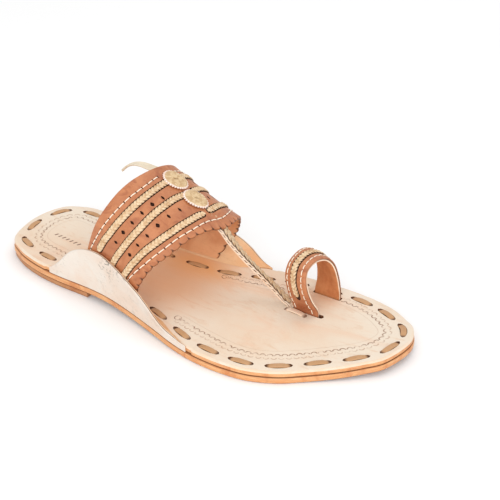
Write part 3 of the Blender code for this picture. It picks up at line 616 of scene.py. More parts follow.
def lace_paths():
    """The floor-plan line of every lace stitch, in order from the heel."""
    edge = outline(SPAN_STEPS)
    curve = inward(edge, inset_line(LACE_LINE, edge))
    closed = np.vstack([curve, curve[:1]])
    run = run_of(closed)
    count = round(run[-1] / LACE_PITCH)
    counted, measured = np.transpose(LACE_SPACING)
    steps = np.linspace(-0.5, 0.5, LACE_STEPS) * LACE_LENGTH
    paths = []
    for k in range(count):
        middle = run[-1] * np.interp(k / count, counted, measured)
        paths.append(sample((middle + steps) % run[-1], run, closed))
    return paths


def anchor_path():
    beside = (loop_foot(0)[0], LOOP_STATION * SOLE_LENGTH)
    rear, front = np.array(ANCHOR_ENDS) * (LACE_WIDTH, LOOP_WIDTH) + beside
    return rear + (front - rear) * np.linspace(0, 1, LACE_STEPS)[:, None]


# Casting meshes


class Mould:
    """Points and faces of one piece, gathered before they are cast into a mesh."""

    def __init__(self):
        self.points, self.creases, self.faces, self.kinds, self.spots = [], [], [], [], []
        self.count = 0

    def add(self, points, painted_shade=0.0):
        points = np.asarray(points, float)
        flat = points.reshape(-1, 3)
        first = self.count
        self.points.append(flat)
        self.creases.append(np.broadcast_to(painted_shade, points.shape[:-1]).reshape(-1))
        self.count += len(flat)
        return first + np.arange(len(flat)).reshape(points.shape[:-1])

    def quads(self, index, wrap=False, kind=0, spots=None):
        """Faces between rows of points that are already in; wrap closes each row."""
        if wrap:
            index = np.concatenate([index, index[:, :1]], axis=1)
        if spots is None:
            spots = np.zeros((*index.shape, 2))
        high, wide = index.shape
        corners = [(slice(0, -1), slice(0, -1)), (slice(0, -1), slice(1, None)),
                   (slice(1, None), slice(1, None)), (slice(1, None), slice(0, -1))]
        self.faces += np.stack([index[c] for c in corners], axis=-1).reshape(-1, 4).tolist()
        self.spots.append(np.stack([spots[c] for c in corners], axis=2).reshape(-1, 2))
        self.kinds += np.broadcast_to(kind, (high - 1, wide - 1)).reshape(-1).tolist()

    def cap(self, ring, kind=0):
        self.faces.append([int(k) for k in ring])
        self.spots.append(np.full((len(ring), 2), 0.02))
        self.kinds.append(kind)

    def tube(self, rings, painted_shade=0.0, kind=0, spots=None):
        """A closed solid through rings of equal length."""
        index = self.add(rings, painted_shade)
        self.quads(index, True, kind, spots)
        self.cap(index[0][::-1], int(np.ravel(kind)[0]))
        self.cap(index[-1], int(np.ravel(kind)[-1]))

    def mesh(self, name):
        mesh = bpy.data.meshes.new(name)
        points = np.concatenate(self.points) + ORIGIN
        mesh.from_pydata(points.tolist(), [], self.faces)
        layer = mesh.uv_layers.new(name="leather")
        layer.data.foreach_set("uv", np.concatenate(self.spots).astype(np.float32).ravel())
        mesh.polygons.foreach_set("material_index", np.array(self.kinds, np.int32))
        # Painted shade per point: darkening in seams, grooves, creases, slits and where strands pass under
        # one another.
        painted_shade = mesh.attributes.new("painted_shade", "FLOAT", "POINT")
        painted_shade.data.foreach_set("value", np.concatenate(self.creases).astype(np.float32))
        work = bmesh.new()
        work.from_mesh(mesh)
        bmesh.ops.recalc_face_normals(work, faces=work.faces)
        work.to_mesh(mesh)
        work.free()
        return mesh


def cast(name, mould, slot, nodes, *leathers, cutter=None, walls=None, angle=42.0):
    """The piece cast from a mould, cut by a cutter's mould, riding on the frame."""
    obj = bpy.data.objects.new(name, mould.mesh(name))
    bpy.context.scene.collection.objects.link(obj)
    for leather in leathers:
        obj.data.materials.append(finish_named(leather) if isinstance(leather, str) else leather)
    if cutter is not None:
        cut_out(obj, cutter, finish_named(walls))
    obj.data.shade_smooth()
    obj.data.set_sharp_from_angle(angle=math.radians(angle))
    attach(obj, "root")
    if nodes:
        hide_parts(*nodes)


def cut_out(obj, cutter, walls):
    """Cuts the cutter's shapes out of a piece, and gives the cut walls their own finish."""
    tool = bpy.data.objects.new("cutter", cutter.mesh("cutter"))
    bpy.context.scene.collection.objects.link(tool)
    tool.data.materials.append(walls)
    obj.data.materials.append(walls)
    modifier = obj.modifiers.new("cut", "BOOLEAN")
    modifier.operation = "DIFFERENCE"
    modifier.solver = "EXACT"
    modifier.material_mode = "TRANSFER"
    modifier.object = tool
    graph = bpy.context.evaluated_depsgraph_get()
    carved = bpy.data.meshes.new_from_object(obj.evaluated_get(graph), depsgraph=graph)
    if len(carved.polygons) < 0.6 * len(obj.data.polygons):
        raise RuntimeError(f"{obj.name} lost faces while its slots were cut")
    obj.modifiers.clear()
    obj.data = carved
    bpy.data.objects.remove(tool)


def turned(sides, wide_power=1.0, high_power=1.0):
    """Sideways and upward shares of the points round a cord, squarer for lower powers."""
    turn = np.linspace(0, 2 * math.pi, sides, endpoint=False)
    parts = ((np.cos(turn), wide_power), (np.sin(turn), high_power))
    return [np.sign(part) * np.abs(part) ** power for part, power in parts]


def ringed(path, flats, ups, wide, high):
    """Rings round a path, from each point's sideways and upward distance."""
    return path[:, None] + flats[:, None] * wide[..., None] + ups[:, None] * high[..., None]


def rounded_rings(path, ups, half_wide, half_high, sides=8, powers=(1.0, 1.0)):
    """Rings of a flattened round cord along a path whose broad side faces along ups."""
    ahead = heading(path)
    flat = unit(np.cross(ahead, ups))
    wide, high = turned(sides, *powers)
    return ringed(path, flat, np.cross(flat, ahead), wide * np.reshape(half_wide, (-1, 1)),
                  high * np.reshape(half_high, (-1, 1)))


def plait(mould, path, flats, ups, width, thick, pitch, strands=3):
    """An odd number of strands that pass over and under each other along a path."""
    run = run_of(path)
    marks = np.linspace(0, run[-1], max(int(run[-1] / STRAND_STEP), 8))
    centre, flat, up = (sample(marks, run, part) for part in (path, flats, ups))
    flat, up = unit(flat), unit(up)
    strand = width / (0.5 * strands + 0.72)
    closing = np.clip(np.minimum(marks, run[-1] - marks) / (0.5 * width), 0.0, 1.0) ** 0.5
    tall = 0.34 * thick
    for k in range(strands):
        phase = 2 * math.pi * (marks / pitch + k / strands)
        weave = np.sin((strands - 1) * phase)
        side = 0.5 * (width - strand) * np.sin(phase) * closing
        line = centre + flat * side[:, None] + up * (0.26 * thick * weave)[:, None]
        rings = rounded_rings(line, up, 0.5 * strand, tall, 8, (0.8, 0.8))
        facing = ((rings - line[:, None]) * up[:, None]).sum(axis=2) / tall
        under = 0.5 - 0.5 * weave[:, None]
        # Painted shade where a strand passes under another and on each strand's lower side.
        mould.tube(rings, np.clip(0.62 * under + 0.75 * (1 - np.clip(facing, 0, 1)) ** 2, 0, 1))


def face_plait(mould, face, table, width, pitch):
    """A braid laid along a line drawn on a face."""
    shares = face.line(table, BRAID_STEP)
    tips = [shares[k] + (shares[k] - shares[k + way]) * 2.6 for k, way in ((0, 1), (-1, -1))]
    path, ups = face.follow(np.vstack([tips[0], shares, tips[1]]))
    flats = unit(np.cross(heading(path), ups))
    plait(mould, path, flats, ups, width, BRAID_THICK, pitch)


def capsule(mould, face, table, half, depth, point=1.0):
    """A cutter for a slot with rounded ends along a line drawn on a face."""
    path, ups = face.follow(face.line(table, SLOT_STEP))
    ahead = heading(path)
    flats = unit(np.cross(ahead, ups))
    turn = np.linspace(0, math.pi, 9)[1:-1]
    first = [path[0] + half * (flats[0] * math.cos(a) - ahead[0] * math.sin(a) * point) for a in turn]
    last = [path[-1] + half * (-flats[-1] * math.cos(a) + ahead[-1] * math.sin(a)) for a in turn]
    ring = np.vstack([path[::-1] + half * flats[::-1], first, path - half * flats, last])
    rise = np.vstack([ups[::-1], [ups[0]] * len(first), ups, [ups[-1]] * len(last)])
    index = mould.add([ring - rise * depth, ring + rise * CUT_OVER])
    mould.quads(index, True)
    count = len(path)
    back = count + len(first)
    for deck in index:
        left, right = deck[:count][::-1], deck[back:back + count]
        mould.quads(np.stack([left, right]))
        mould.cap([left[0], *deck[count:back], right[0]])
        mould.cap([right[-1], *deck[back + count:], left[-1]])


def prism(mould, ring, low, high):
    """A cutter between two copies of a ring of floor-plan points."""
    mould.tube([[(x, y, level) for x, y in ring] for level in (low, high)])


def face_prism(mould, face, along, across, shape, depth, over=CUT_OVER):
    """A cutter of a small shape, given in metres along and across, standing on a face."""
    ahead, aside = np.transpose(shape)
    normal = face.normal(along, across)
    ring = face.at(along + ahead / face.length, across + aside / face.width)
    ring = ring - np.outer((ring - face.at(along, across)) @ normal, normal)
    mould.tube([ring - normal * depth, ring + normal * over])


# Finishes


class Link:
    """One output of a finish's nodes, on which plain arithmetic adds Math nodes."""

    def __init__(self, finish, socket):
        self.finish, self.socket = finish, socket

    def output(self, key):
        """Another output of the same node."""
        return Link(self.finish, self.socket.node.outputs[key])

    def __add__(self, other):
        return self.finish.math("ADD", self, other)

    def __radd__(self, other):
        return self.finish.math("ADD", other, self)

    def __sub__(self, other):
        return self.finish.math("SUBTRACT", self, other)

    def __rsub__(self, other):
        return self.finish.math("SUBTRACT", other, self)

    def __mul__(self, other):
        return self.finish.math("MULTIPLY", self, other)

    def __rmul__(self, other):
        return self.finish.math("MULTIPLY", other, self)

    def __truediv__(self, other):
        return self.finish.math("DIVIDE", self, other)

    def __abs__(self):
        return self.finish.math("ABSOLUTE", self)


class Finish:
    """A leather's finish, built node by node."""

    def __init__(self, name):
        self.material = bpy.data.materials.new(name)
        self.material.use_nodes = True
        self.tree = self.material.node_tree
        self.shader = self.tree.nodes["Principled BSDF"]

    def node(self, kind, settings=None, inputs=None, output=0):
        """A node of a kind, its settings first, then the values or links of its inputs."""
        made = self.tree.nodes.new(kind)
        for key, value in (settings or {}).items():
            setattr(made, key, value)
        self.feed(made, inputs or {})
        return Link(self, made.outputs[output])

    def feed(self, made, inputs):
        """Joins the inputs that are links and sets the others on the node."""
        for key, value in inputs.items():
            if isinstance(value, Link):
                self.tree.links.new(value.socket, made.inputs[key])
            else:
                made.inputs[key].default_value = value

    def math(self, operation, *values):
        return self.node("ShaderNodeMath", {"operation": operation}, dict(enumerate(values)))

    def vector(self, operation, *values, output=0):
        return self.node("ShaderNodeVectorMath", {"operation": operation}, dict(enumerate(values)), output)

    @cached_property
    def place(self):
        return self.node("ShaderNodeTexCoord", output="Object")

    # How much painted shade each point carries.
    @cached_property
    def painted_shade(self):
        return self.node("ShaderNodeAttribute", {"attribute_name": "painted_shade"}, output="Fac")

    def spot(self):
        """The place in the piece's own flat layout: along and across in metres."""
        laid = self.node("ShaderNodeUVMap", {"uv_map": "leather"})
        split = self.node("ShaderNodeSeparateXYZ", None, {0: laid})
        return split, split.output(1)

    def noise(self, scale, detail=3.0, rough=0.55, distortion=0.0, stretch=None):
        vector = self.vector("MULTIPLY", self.place, stretch) if stretch else self.place
        return self.node("ShaderNodeTexNoise", None,
                         {"Vector": vector, "Scale": scale, "Detail": detail, "Roughness": rough,
                          "Distortion": distortion})

    def grain(self, scale=1.0):
        """The fine height of leather grain: small pebbles under pores."""
        pebbles = self.node("ShaderNodeTexVoronoi", {"feature": "SMOOTH_F1"},
                            {"Vector": self.place, "Scale": PEBBLES * scale})
        return pebbles * 0.6 + self.noise(PORES * scale, 2.0, 0.6) * 0.5

    def ease(self, value, low, high):
        """0 below low and 1 above high, with a soft step between them."""
        return self.node("ShaderNodeMapRange", {"interpolation_type": "SMOOTHSTEP"},
                         {"Value": value, "From Min": low, "From Max": high})

    def mix(self, share, first, second):
        first, second = (value if isinstance(value, Link) else (*value, 1.0) for value in (first, second))
        return self.node("ShaderNodeMix", {"data_type": "RGBA"}, {0: share, 6: first, 7: second}, 2)

    def wash(self, colour, *layers):
        """A colour under layers, each a mask, the values where it sets in, its strength and tint."""
        for mask, low, high, strength, tint in layers:
            colour = self.mix(self.ease(mask, low, high) * strength, colour, tint)
        return colour

    def patch(self, centre, size):
        """1 at a heel-based place, fading to 0 at a distance size from it, in metres."""
        away = self.vector("SUBTRACT", self.place, tuple(np.array(centre) + ORIGIN))
        away = self.vector("MULTIPLY", away, tuple(1 / s for s in size))
        return 1 - self.ease(self.vector("LENGTH", away, output="Value"), 0.15, 1.0)

    def ring(self, east, north, radius, thin, thick):
        """1 on a ring of a radius round the middle of a place in metres, fading off its line."""
        reach = self.math("SQRT", east * east + north * north)
        return 1 - self.ease(abs(reach - radius), thin, thick)

    def repeated(self, along, pitch):
        """The way from the middle of each of many lengths of one pitch."""
        return (self.math("FRACT", along / pitch) - 0.5) * pitch

    def done(self, colour, roughness, height, depth, strength, specular=0.5):
        """The material, with its colour, roughness and bump joined to the shader."""
        bump = self.node("ShaderNodeBump", None,
                         {"Height": height, "Distance": depth, "Strength": strength})
        self.feed(self.shader, {"Base Color": colour, "Roughness": roughness, "Normal": bump,
                                "Specular IOR Level": specular})
        return self.material


def dyed_leather(name, colours):
    """Smooth dyed upper leather with soft blotches, with painted shade in its creases and at the loop's
    foot.
    """
    finish = Finish(name)
    light, dark = np.multiply(colours.strap, (1.16, 1.24, 1.28)), colours.strap_dark
    fine = finish.noise(430, 4.0, 0.6)
    colour = finish.wash(colours.strap,
                         (finish.noise(75, 4.0, 0.6, 0.6), 0.42, 0.62, 1.0, light),
                         (finish.noise(190, 3.0, 0.55, 0.8, (1.0, 0.45, 1.0)), 0.48, 0.72, 0.7, dark),
                         (fine, 0.56, 0.80, 0.35, dark))
    # Painted shade at the toe loop's foot, down by the insole.
    colour = finish.mix(finish.patch((-0.009, 0.216, 0.006), (0.018, 0.018, 0.016)) * 0.8, colour, dark)
    # Painted shade in the scallops, rims and grooves, in the dark slot colour.
    colour = finish.wash(colour, (finish.painted_shade, 0.05, 0.95, 1.0, colours.slot))
    height = finish.grain() * 0.22 + finish.noise(420) * 0.6
    return finish.done(colour, 0.40 + finish.ease(fine, 0.3, 0.8) * 0.16, height, 0.00022, 0.55, 0.45)


def raw_leather(name, light, dark, rough, scuffed=0.0):
    """Undyed flesh-side leather: pale, blotched and slightly fuzzy."""
    finish = Finish(name)
    fibres = finish.noise(700, 4.0, 0.65, 0.5, (1.0, 0.35, 1.0))
    colour = finish.wash(light, (finish.noise(38, 4.0, 0.6, 0.5), 0.38, 0.72, 1.0, dark),
                         (fibres, 0.52, 0.80, 0.35, np.multiply(dark, 0.72)))
    if scuffed:
        marks = finish.ease(finish.noise(230, 5.0, 0.7, 1.6), 0.52, 0.64)
        above = finish.node("ShaderNodeSeparateXYZ", None, {0: finish.place}).output(2)
        where = finish.ease(finish.noise(48), 0.44, 0.58) * (0.25 + finish.ease(above, 0.018, 0.034) * 0.75)
        colour = finish.mix(marks * where * scuffed, colour, screen(150, 140, 128))
    # Painted shade in seams, grooves and where pieces meet.
    colour = finish.wash(colour, (finish.painted_shade, 0.05, 0.95, 0.9, screen(112, 74, 50)))
    return finish.done(colour, rough, fibres * 0.8 + finish.grain(0.7) * 0.3, 0.00025, 0.6)


def cut_wall(name, colour):
    """The rough wall of a slot or a punched hole, painted dark as the shade inside it."""
    finish = Finish(name)
    fibres = finish.noise(900, 3.0, 0.6)
    shade = finish.wash(colour, (fibres, 0.35, 0.75, 1.0, np.multiply(colour, 1.9)))
    return finish.done(shade, 0.9, fibres, 0.0002, 0.5)


def braid_leather(name, colours, light=1.0):
    """Pale plaited strips, with painted shade where one passes under another and on their lower sides."""
    finish = Finish(name)
    hue = finish.noise(300, 3.0, 0.6)
    colour = finish.wash(np.multiply(colours.braid, light),
                         (hue, 0.36, 0.70, 1.0, screen(198, 158, 114)),
                         (finish.noise(900, 2.0), 0.54, 0.72, 0.6, screen(242, 224, 194)),
                         (finish.painted_shade, 0.22, 0.86, 1.0, screen(88, 54, 30)))
    return finish.done(colour, 0.62, finish.noise(1600, 3.0, 0.6) + hue * 0.4, 0.00015, 0.5)


def thread_finish(name, colours):
    """Waxed cotton thread with a fine twist, with painted shade between its plies and where it dives into
    the leather.
    """
    finish = Finish(name)
    along, across = finish.spot()
    twist = finish.math("SINE", along * 9000.0 + across * 5000.0)
    # Painted shade: darker between the twist's plies, and at the stitch ends.
    colour = finish.wash(np.multiply(colours.thread, 0.82), (twist, -1.0, 0.6, 1.0, colours.thread),
                         (finish.painted_shade, 0.3, 1.0, 0.8, screen(150, 104, 74)))
    return finish.done(colour, 0.55, twist, 0.00006, 0.5)


def lace_finish(name, colours):
    """Flat greased lacing, with painted shade where it dives into its holes."""
    finish = Finish(name)
    fibres = finish.noise(900, 4.0, 0.65, 0.0, (0.5, 0.5, 1.0))
    colour = finish.wash(colours.lace, (finish.noise(160), 0.35, 0.70, 1.0, screen(188, 142, 98)),
                         (fibres, 0.50, 0.75, 0.4, screen(166, 122, 82)),
                         (finish.painted_shade, 0.1, 1.0, 1.0, screen(92, 60, 38)))
    return finish.done(colour, 0.58, fibres, 0.00018, 0.5)


def sole_edge(name, colours, darker=0.0):
    """Waxed cut edge: orange-tan fibres in thin layers with brown flecks, and painted shade in the seams.
    """
    finish = Finish(name)
    layers = finish.noise(700, 4.0, 0.6, 0.3, (0.12, 0.12, 3.2))
    patches = finish.noise(90, 4.0, 0.65, 0.6, (1.0, 1.0, 0.6))
    flecks = finish.noise(620, 3.0, 0.7, 0.0, (0.5, 0.5, 2.0))
    colour = finish.wash(colours.edge, (layers, 0.40, 0.66, 1.0, screen(230, 178, 124)),
                         (patches, 0.46, 0.74, 0.75, screen(194, 114, 62)),
                         (flecks, 0.60, 0.74, 0.6, colours.edge_dirt_and_shade))
    # Painted shade: a darker share for the low heel lift and the floor-facing underside.
    colour = finish.mix(darker, colour, colours.edge_dirt_and_shade)
    # Painted shade in the seams and along the lower edge.
    colour = finish.wash(colour, (finish.painted_shade, 0.15, 1.0, 0.85, colours.edge_dirt_and_shade))
    return finish.done(colour, 0.46, layers + flecks * 0.5, 0.0003, 0.5)


def tooled_marks(finish, along, across, stretches, curls):
    """How deep the border's stamps are: rows of small arcs beside a fine scored line."""
    lower, upper = across + 0.0010, across + 0.0026
    arc = finish.ring(finish.repeated(along, TOOL_PITCH), lower, 0.0017, 0.00016, 0.00056)
    arc = arc * finish.ease(lower, -0.0002, 0.0003)
    east = finish.repeated(along + 0.5 * TOOL_PITCH, TOOL_PITCH)
    rear = finish.ring(east, upper, 0.0015, 0.00014, 0.00050)
    rear = rear * (1 - finish.ease(upper, -0.0006, 0.0002))
    scored = 1 - finish.ease(abs(across - 0.0040), 0.00006, 0.00026)
    inside = 0.0
    for first, last in stretches:
        here = finish.ease(along, first, first + 0.001) * (1 - finish.ease(along, last - 0.001, last))
        inside = finish.math("MAXIMUM", inside, here)
    arc = arc * inside
    for start in curls:
        arc = finish.math("MAXIMUM", arc, finish.ring(along - start, across, 0.0021, 0.0001, 0.0004))
    return arc, rear * inside, scored * inside


def heel_dashes(finish):
    """A plain row of seven short dashes pressed into the heel seat."""
    start, end = np.array(DASH_ENDS)
    run = np.linalg.norm(end - start)
    east, north = (end - start) / run
    away = finish.vector("SUBTRACT", finish.place, tuple(np.array([*start, 0.0]) + ORIGIN * (1, 1, 0)))
    along = finish.vector("DOT_PRODUCT", away, (east, north, 0.0), output="Value")
    aside = finish.vector("DOT_PRODUCT", away, (north, -east, 0.0), output="Value")
    pitch = run / 6
    near = abs(finish.repeated(along + 0.5 * pitch, pitch) + aside * 0.35)
    mark = (1 - finish.ease(near, 0.00030, 0.00070)) * (1 - finish.ease(abs(aside), 0.0011, 0.0015))
    return mark * finish.ease(along, -0.0018, -0.0014) * (
        1 - finish.ease(along, run + 0.0014, run + 0.0018))


def insole_finish(colours, stretches, curls):
    """Undyed insole: cream with pink, tan and oily places, painted shade under the strap and the toe loop,
    stamped round its border.
    """
    finish = Finish("insole leather")
    along, across = finish.spot()
    drawn = (1.5, 0.5, 1.0)
    broad = finish.noise(26, 4.0, 0.6, 0.9, drawn)
    streak = finish.noise(85, 5.0, 0.62, 1.4, drawn)
    colour = finish.wash(colours.insole,
                         (finish.noise(17, 3.0, 0.5), 0.35, 0.70, 1.0, screen(227, 203, 178)),
                         (broad, 0.47, 0.72, 0.65, screen(228, 186, 154)),
                         (streak, 0.52, 0.76, 0.42, screen(214, 170, 132)),
                         (finish.noise(1300, 3.0, 0.6), 0.58, 0.78, 0.18, screen(205, 160, 120)))
    # Painted shade under the instep strap.
    under = finish.patch((0.006, 0.122, 0.010), (0.055, 0.060, 0.05))
    oily = finish.patch((-0.020, 0.128, 0.010), (0.024, 0.042, 0.05))
    # Painted shade under the toe loop, by its inner foot.
    foot = finish.patch((-0.030, 0.216, 0.008), (0.018, 0.020, 0.05))
    arc, rear, scored = tooled_marks(finish, along, across, stretches, curls)
    worn = finish.ease(finish.noise(260, 2.0), 0.25, 0.62)
    dashes = heel_dashes(finish)
    pressed = finish.math("MAXIMUM", arc * worn, dashes)
    for share, tint in ((under * 0.75, screen(233, 178, 132)),
                        (oily * (0.5 + broad * 0.9), colours.insole_warm),
                        (foot * 0.35, screen(226, 178, 134)),
                        (pressed * 0.85, screen(140, 94, 64)),
                        (rear * worn * 0.6, screen(170, 124, 90)),
                        (dashes * 0.9, screen(108, 66, 46)),
                        (scored * 0.30, screen(190, 146, 112))):
        colour = finish.mix(share, colour, tint)
    height = finish.grain(0.8) * 0.18 + streak * 0.5 - pressed * 1.1 - rear * 0.7 - scored * 0.5
    return finish.done(colour, 0.50 + finish.ease(streak, 0.3, 0.8) * 0.15, height, 0.00025, 0.8, 0.4)


def rosette_finish(name, colours):
    """Straw-coloured leather, crumpled, with pale pinked teeth and painted shade in its slit and between
    its teeth.
    """
    finish = Finish(name)
    radius, _ = finish.spot()
    crumple = finish.noise(320, 4.0, 0.6, 0.8)
    fine = finish.noise(1400, 3.0, 0.6)
    colour = finish.wash(colours.rosette, (crumple, 0.40, 0.60, 1.0, screen(220, 192, 150)),
                         (fine, 0.55, 0.78, 0.4, screen(186, 148, 98)),
                         (radius, 0.84, 0.93, 1.0, screen(246, 226, 214)),
                         (finish.painted_shade, 0.1, 1.0, 1.0, screen(98, 66, 40)))
    return finish.done(colour, 0.66, crumple + fine * 0.3, 0.0006, 0.55)


@lru_cache(maxsize=None)
def finish_named(name):
    """The shared finishes, each made once when a piece first asks for it."""
    colours = bpy.context.scene.sandal_colours
    make, *values = {
        "strap leather": (dyed_leather, colours),
        "strap lining": (raw_leather, screen(216, 160, 116), screen(196, 132, 88), 0.75),
        "loop lining": (raw_leather, screen(208, 140, 88), screen(172, 98, 54), 0.7),
        "cut edge": (raw_leather, screen(240, 214, 190), screen(222, 186, 156), 0.75),
        # Slot and slit walls: painted shade inside the cuts.
        "slot wall": (cut_wall, colours.slot),
        "slit wall": (cut_wall, screen(112, 70, 44)),
        "braid leather": (braid_leather, colours),
        # The thong's plait: the braid leather darkened as painted shade.
        "thong braid": (braid_leather, colours, 0.78),
        "thread": (thread_finish, colours),
        "rosette leather": (rosette_finish, colours),
        "lace leather": (lace_finish, colours),
        "insole edge": (raw_leather, colours.insole, screen(233, 200, 166), 0.6),
        "sole edge": (sole_edge, colours),
        # Darker copies of the sole edge: painted shade on the heel lift's edge and on the underside.
        "heel edge": (sole_edge, colours, 0.5),
        "sole tread": (sole_edge, colours, 0.55),
        "ear leather": (raw_leather, colours.ear, screen(222, 202, 185), 0.8, 1.0),
        "ear lining": (raw_leather, colours.ear_lining, screen(222, 166, 116), 0.62),
        "tail leather": (raw_leather, screen(228, 214, 190), screen(196, 180, 152), 0.7, 0.4),
    }[name]
    return make(name, *values)


# Operators


class Making(Operator):
    """What the sandal's operators share"""

    bl_options = {"REGISTER", "UNDO"}

    def execute(self, context):
        self.make(context.scene.sandal_sizes)
        return {"FINISHED"}


def profiled(curve, profile, height):
    """Rings inset from a curve by a profile's rows of inset, level and painted shade, and their painted
    shade.
    """
    rings = []
    for inset, level, _ in profile:
        plan = inward(curve, inset)
        rings.append(np.column_stack([plan, height(plan[:, 1], level)]))
    return rings, [edge_shade for _, _, edge_shade in profile]


def ring_sheet(mould, rings, creases, kinds, spots=None):
    """Rings inside one another from the underside round the edge to the upper face."""
    index = mould.add(rings, np.array(creases)[:, None])
    if spots is not None:
        closing = spots[:, :1].copy()
        closing[:, 0, 0] = 2 * spots[:, -1, 0] - spots[:, -2, 0]
        spots = np.concatenate([spots, closing], axis=1)
    mould.quads(index, True, np.array(kinds)[:, None], spots)
    return index


def bridge(mould, ring, points, height, kind, steps=12, spots=None):
    """Closes the inside of a ring with rows of faces from the outer to the inner side."""
    half = len(ring) // 2
    outer = np.arange(1, half)
    inner = len(ring) - outer
    share = np.arange(1, steps)[:, None, None] / steps
    middle = points[outer] * (1 - share) + points[inner] * share
    rows = mould.add(np.concatenate([middle, height(middle[..., 1])[..., None]], axis=2))
    grid = np.stack([ring[outer], *rows, ring[inner]])
    laid = None
    if spots is not None:
        k = np.arange(steps + 1)[:, None]
        wide = np.linalg.norm(points[outer] - points[inner], axis=1)
        along = np.where(2 * k <= steps, spots[outer, 0], spots[inner, 0])
        laid = np.stack([along, spots[outer, 1] + np.minimum(k, steps - k) / steps * wide], axis=2)
    mould.quads(grid, False, kind, laid)
    for end, tip in ((0, 0), (-1, half)):
        mould.cap([ring[tip], *grid[:, end]], kind)


class SANDAL_OT_outsole(Making):
    """Casts the outsole with its waxed edge and the low heel lift"""

    bl_idname = "sandal.outsole"
    bl_label = "Outsole and heel lift"

    def make(self, sizes):
        def level(y, share):
            return sole_rise(y) + share * OUTSOLE_THICK

        # Inset, height as a share of the thickness, painted shade at the seam and the lower edge
        profile = [(0.0060, 0.00, 0.4), (0.0012, 0.00, 0.9), (0.0005, 0.02, 0.9), (0.0001, 0.10, 0.55),
                   (0.0000, 0.22, 0.1), (0.0000, 0.50, 0.0), (0.0000, 0.74, 0.0), (0.0001, 0.87, 0.15),
                   (0.0004, 0.96, 0.7), (0.0012, 1.00, 1.0), (0.0040, 1.00, 1.0)]
        mould = Mould()
        rings, creases = profiled(outline(), profile, level)
        index = ring_sheet(mould, rings, creases, [1, 1] + [0] * 8)
        bridge(mould, index[0], rings[0][:, :2], sole_rise, 1)
        bridge(mould, index[-1], rings[-1][:, :2], lambda y: level(y, 1), 0)
        cast("outsole_leather", mould, "sole_leather", ["outsole"], "sole edge", "sole tread")
        self.make_lift()

    def make_lift(self):
        curve = inward(outline(), EDGE_STEP)
        half = len(curve) // 2
        outer, inner = (part[part[:, 1] < HEEL_BREAST] for part in (curve[:half], curve[half:]))
        corners = [(float(edge_x(HEEL_BREAST, side)) - side * EDGE_STEP, HEEL_BREAST) for side in (1, -1)]
        # Inset, height over the floor, painted shade at the seams
        profile = [(0.0010, 0.0, 1.0), (0.0003, 0.0002, 1.0), (0.0, 0.0009, 0.4), (0.0, 0.0027, 0.0),
                   (0.0002, 0.0034, 0.5), (0.0009, HEEL_LIFT, 1.0)]
        mould = Mould()
        rings, creases = profiled(np.vstack([inner, outer, np.linspace(*corners, 24)]), profile,
                                  lambda y, level: np.full(len(y), level))
        index = ring_sheet(mould, rings, creases, [1, 0, 0, 0, 0])
        mould.cap(index[0][::-1], 1)
        mould.cap(index[-1], 0)
        cast("heel_lift_leather", mould, "sole_leather", ["heel_lift"], "heel edge", "sole tread")


def lens_ring(path, half, reach):
    """A blunt oval round a floor-plan path, a little longer than the path."""
    ahead = heading(path)
    aside = np.stack([-ahead[:, 1], ahead[:, 0]], axis=1)
    share = np.linspace(-1, 1, len(path))
    body = path + ahead * (share * reach)[:, None]
    aside = aside * (half * np.maximum(1 - share ** 2, 0.0) ** 0.36)[:, None]
    return np.vstack([(body + aside)[:-1], (body - aside)[:0:-1]])


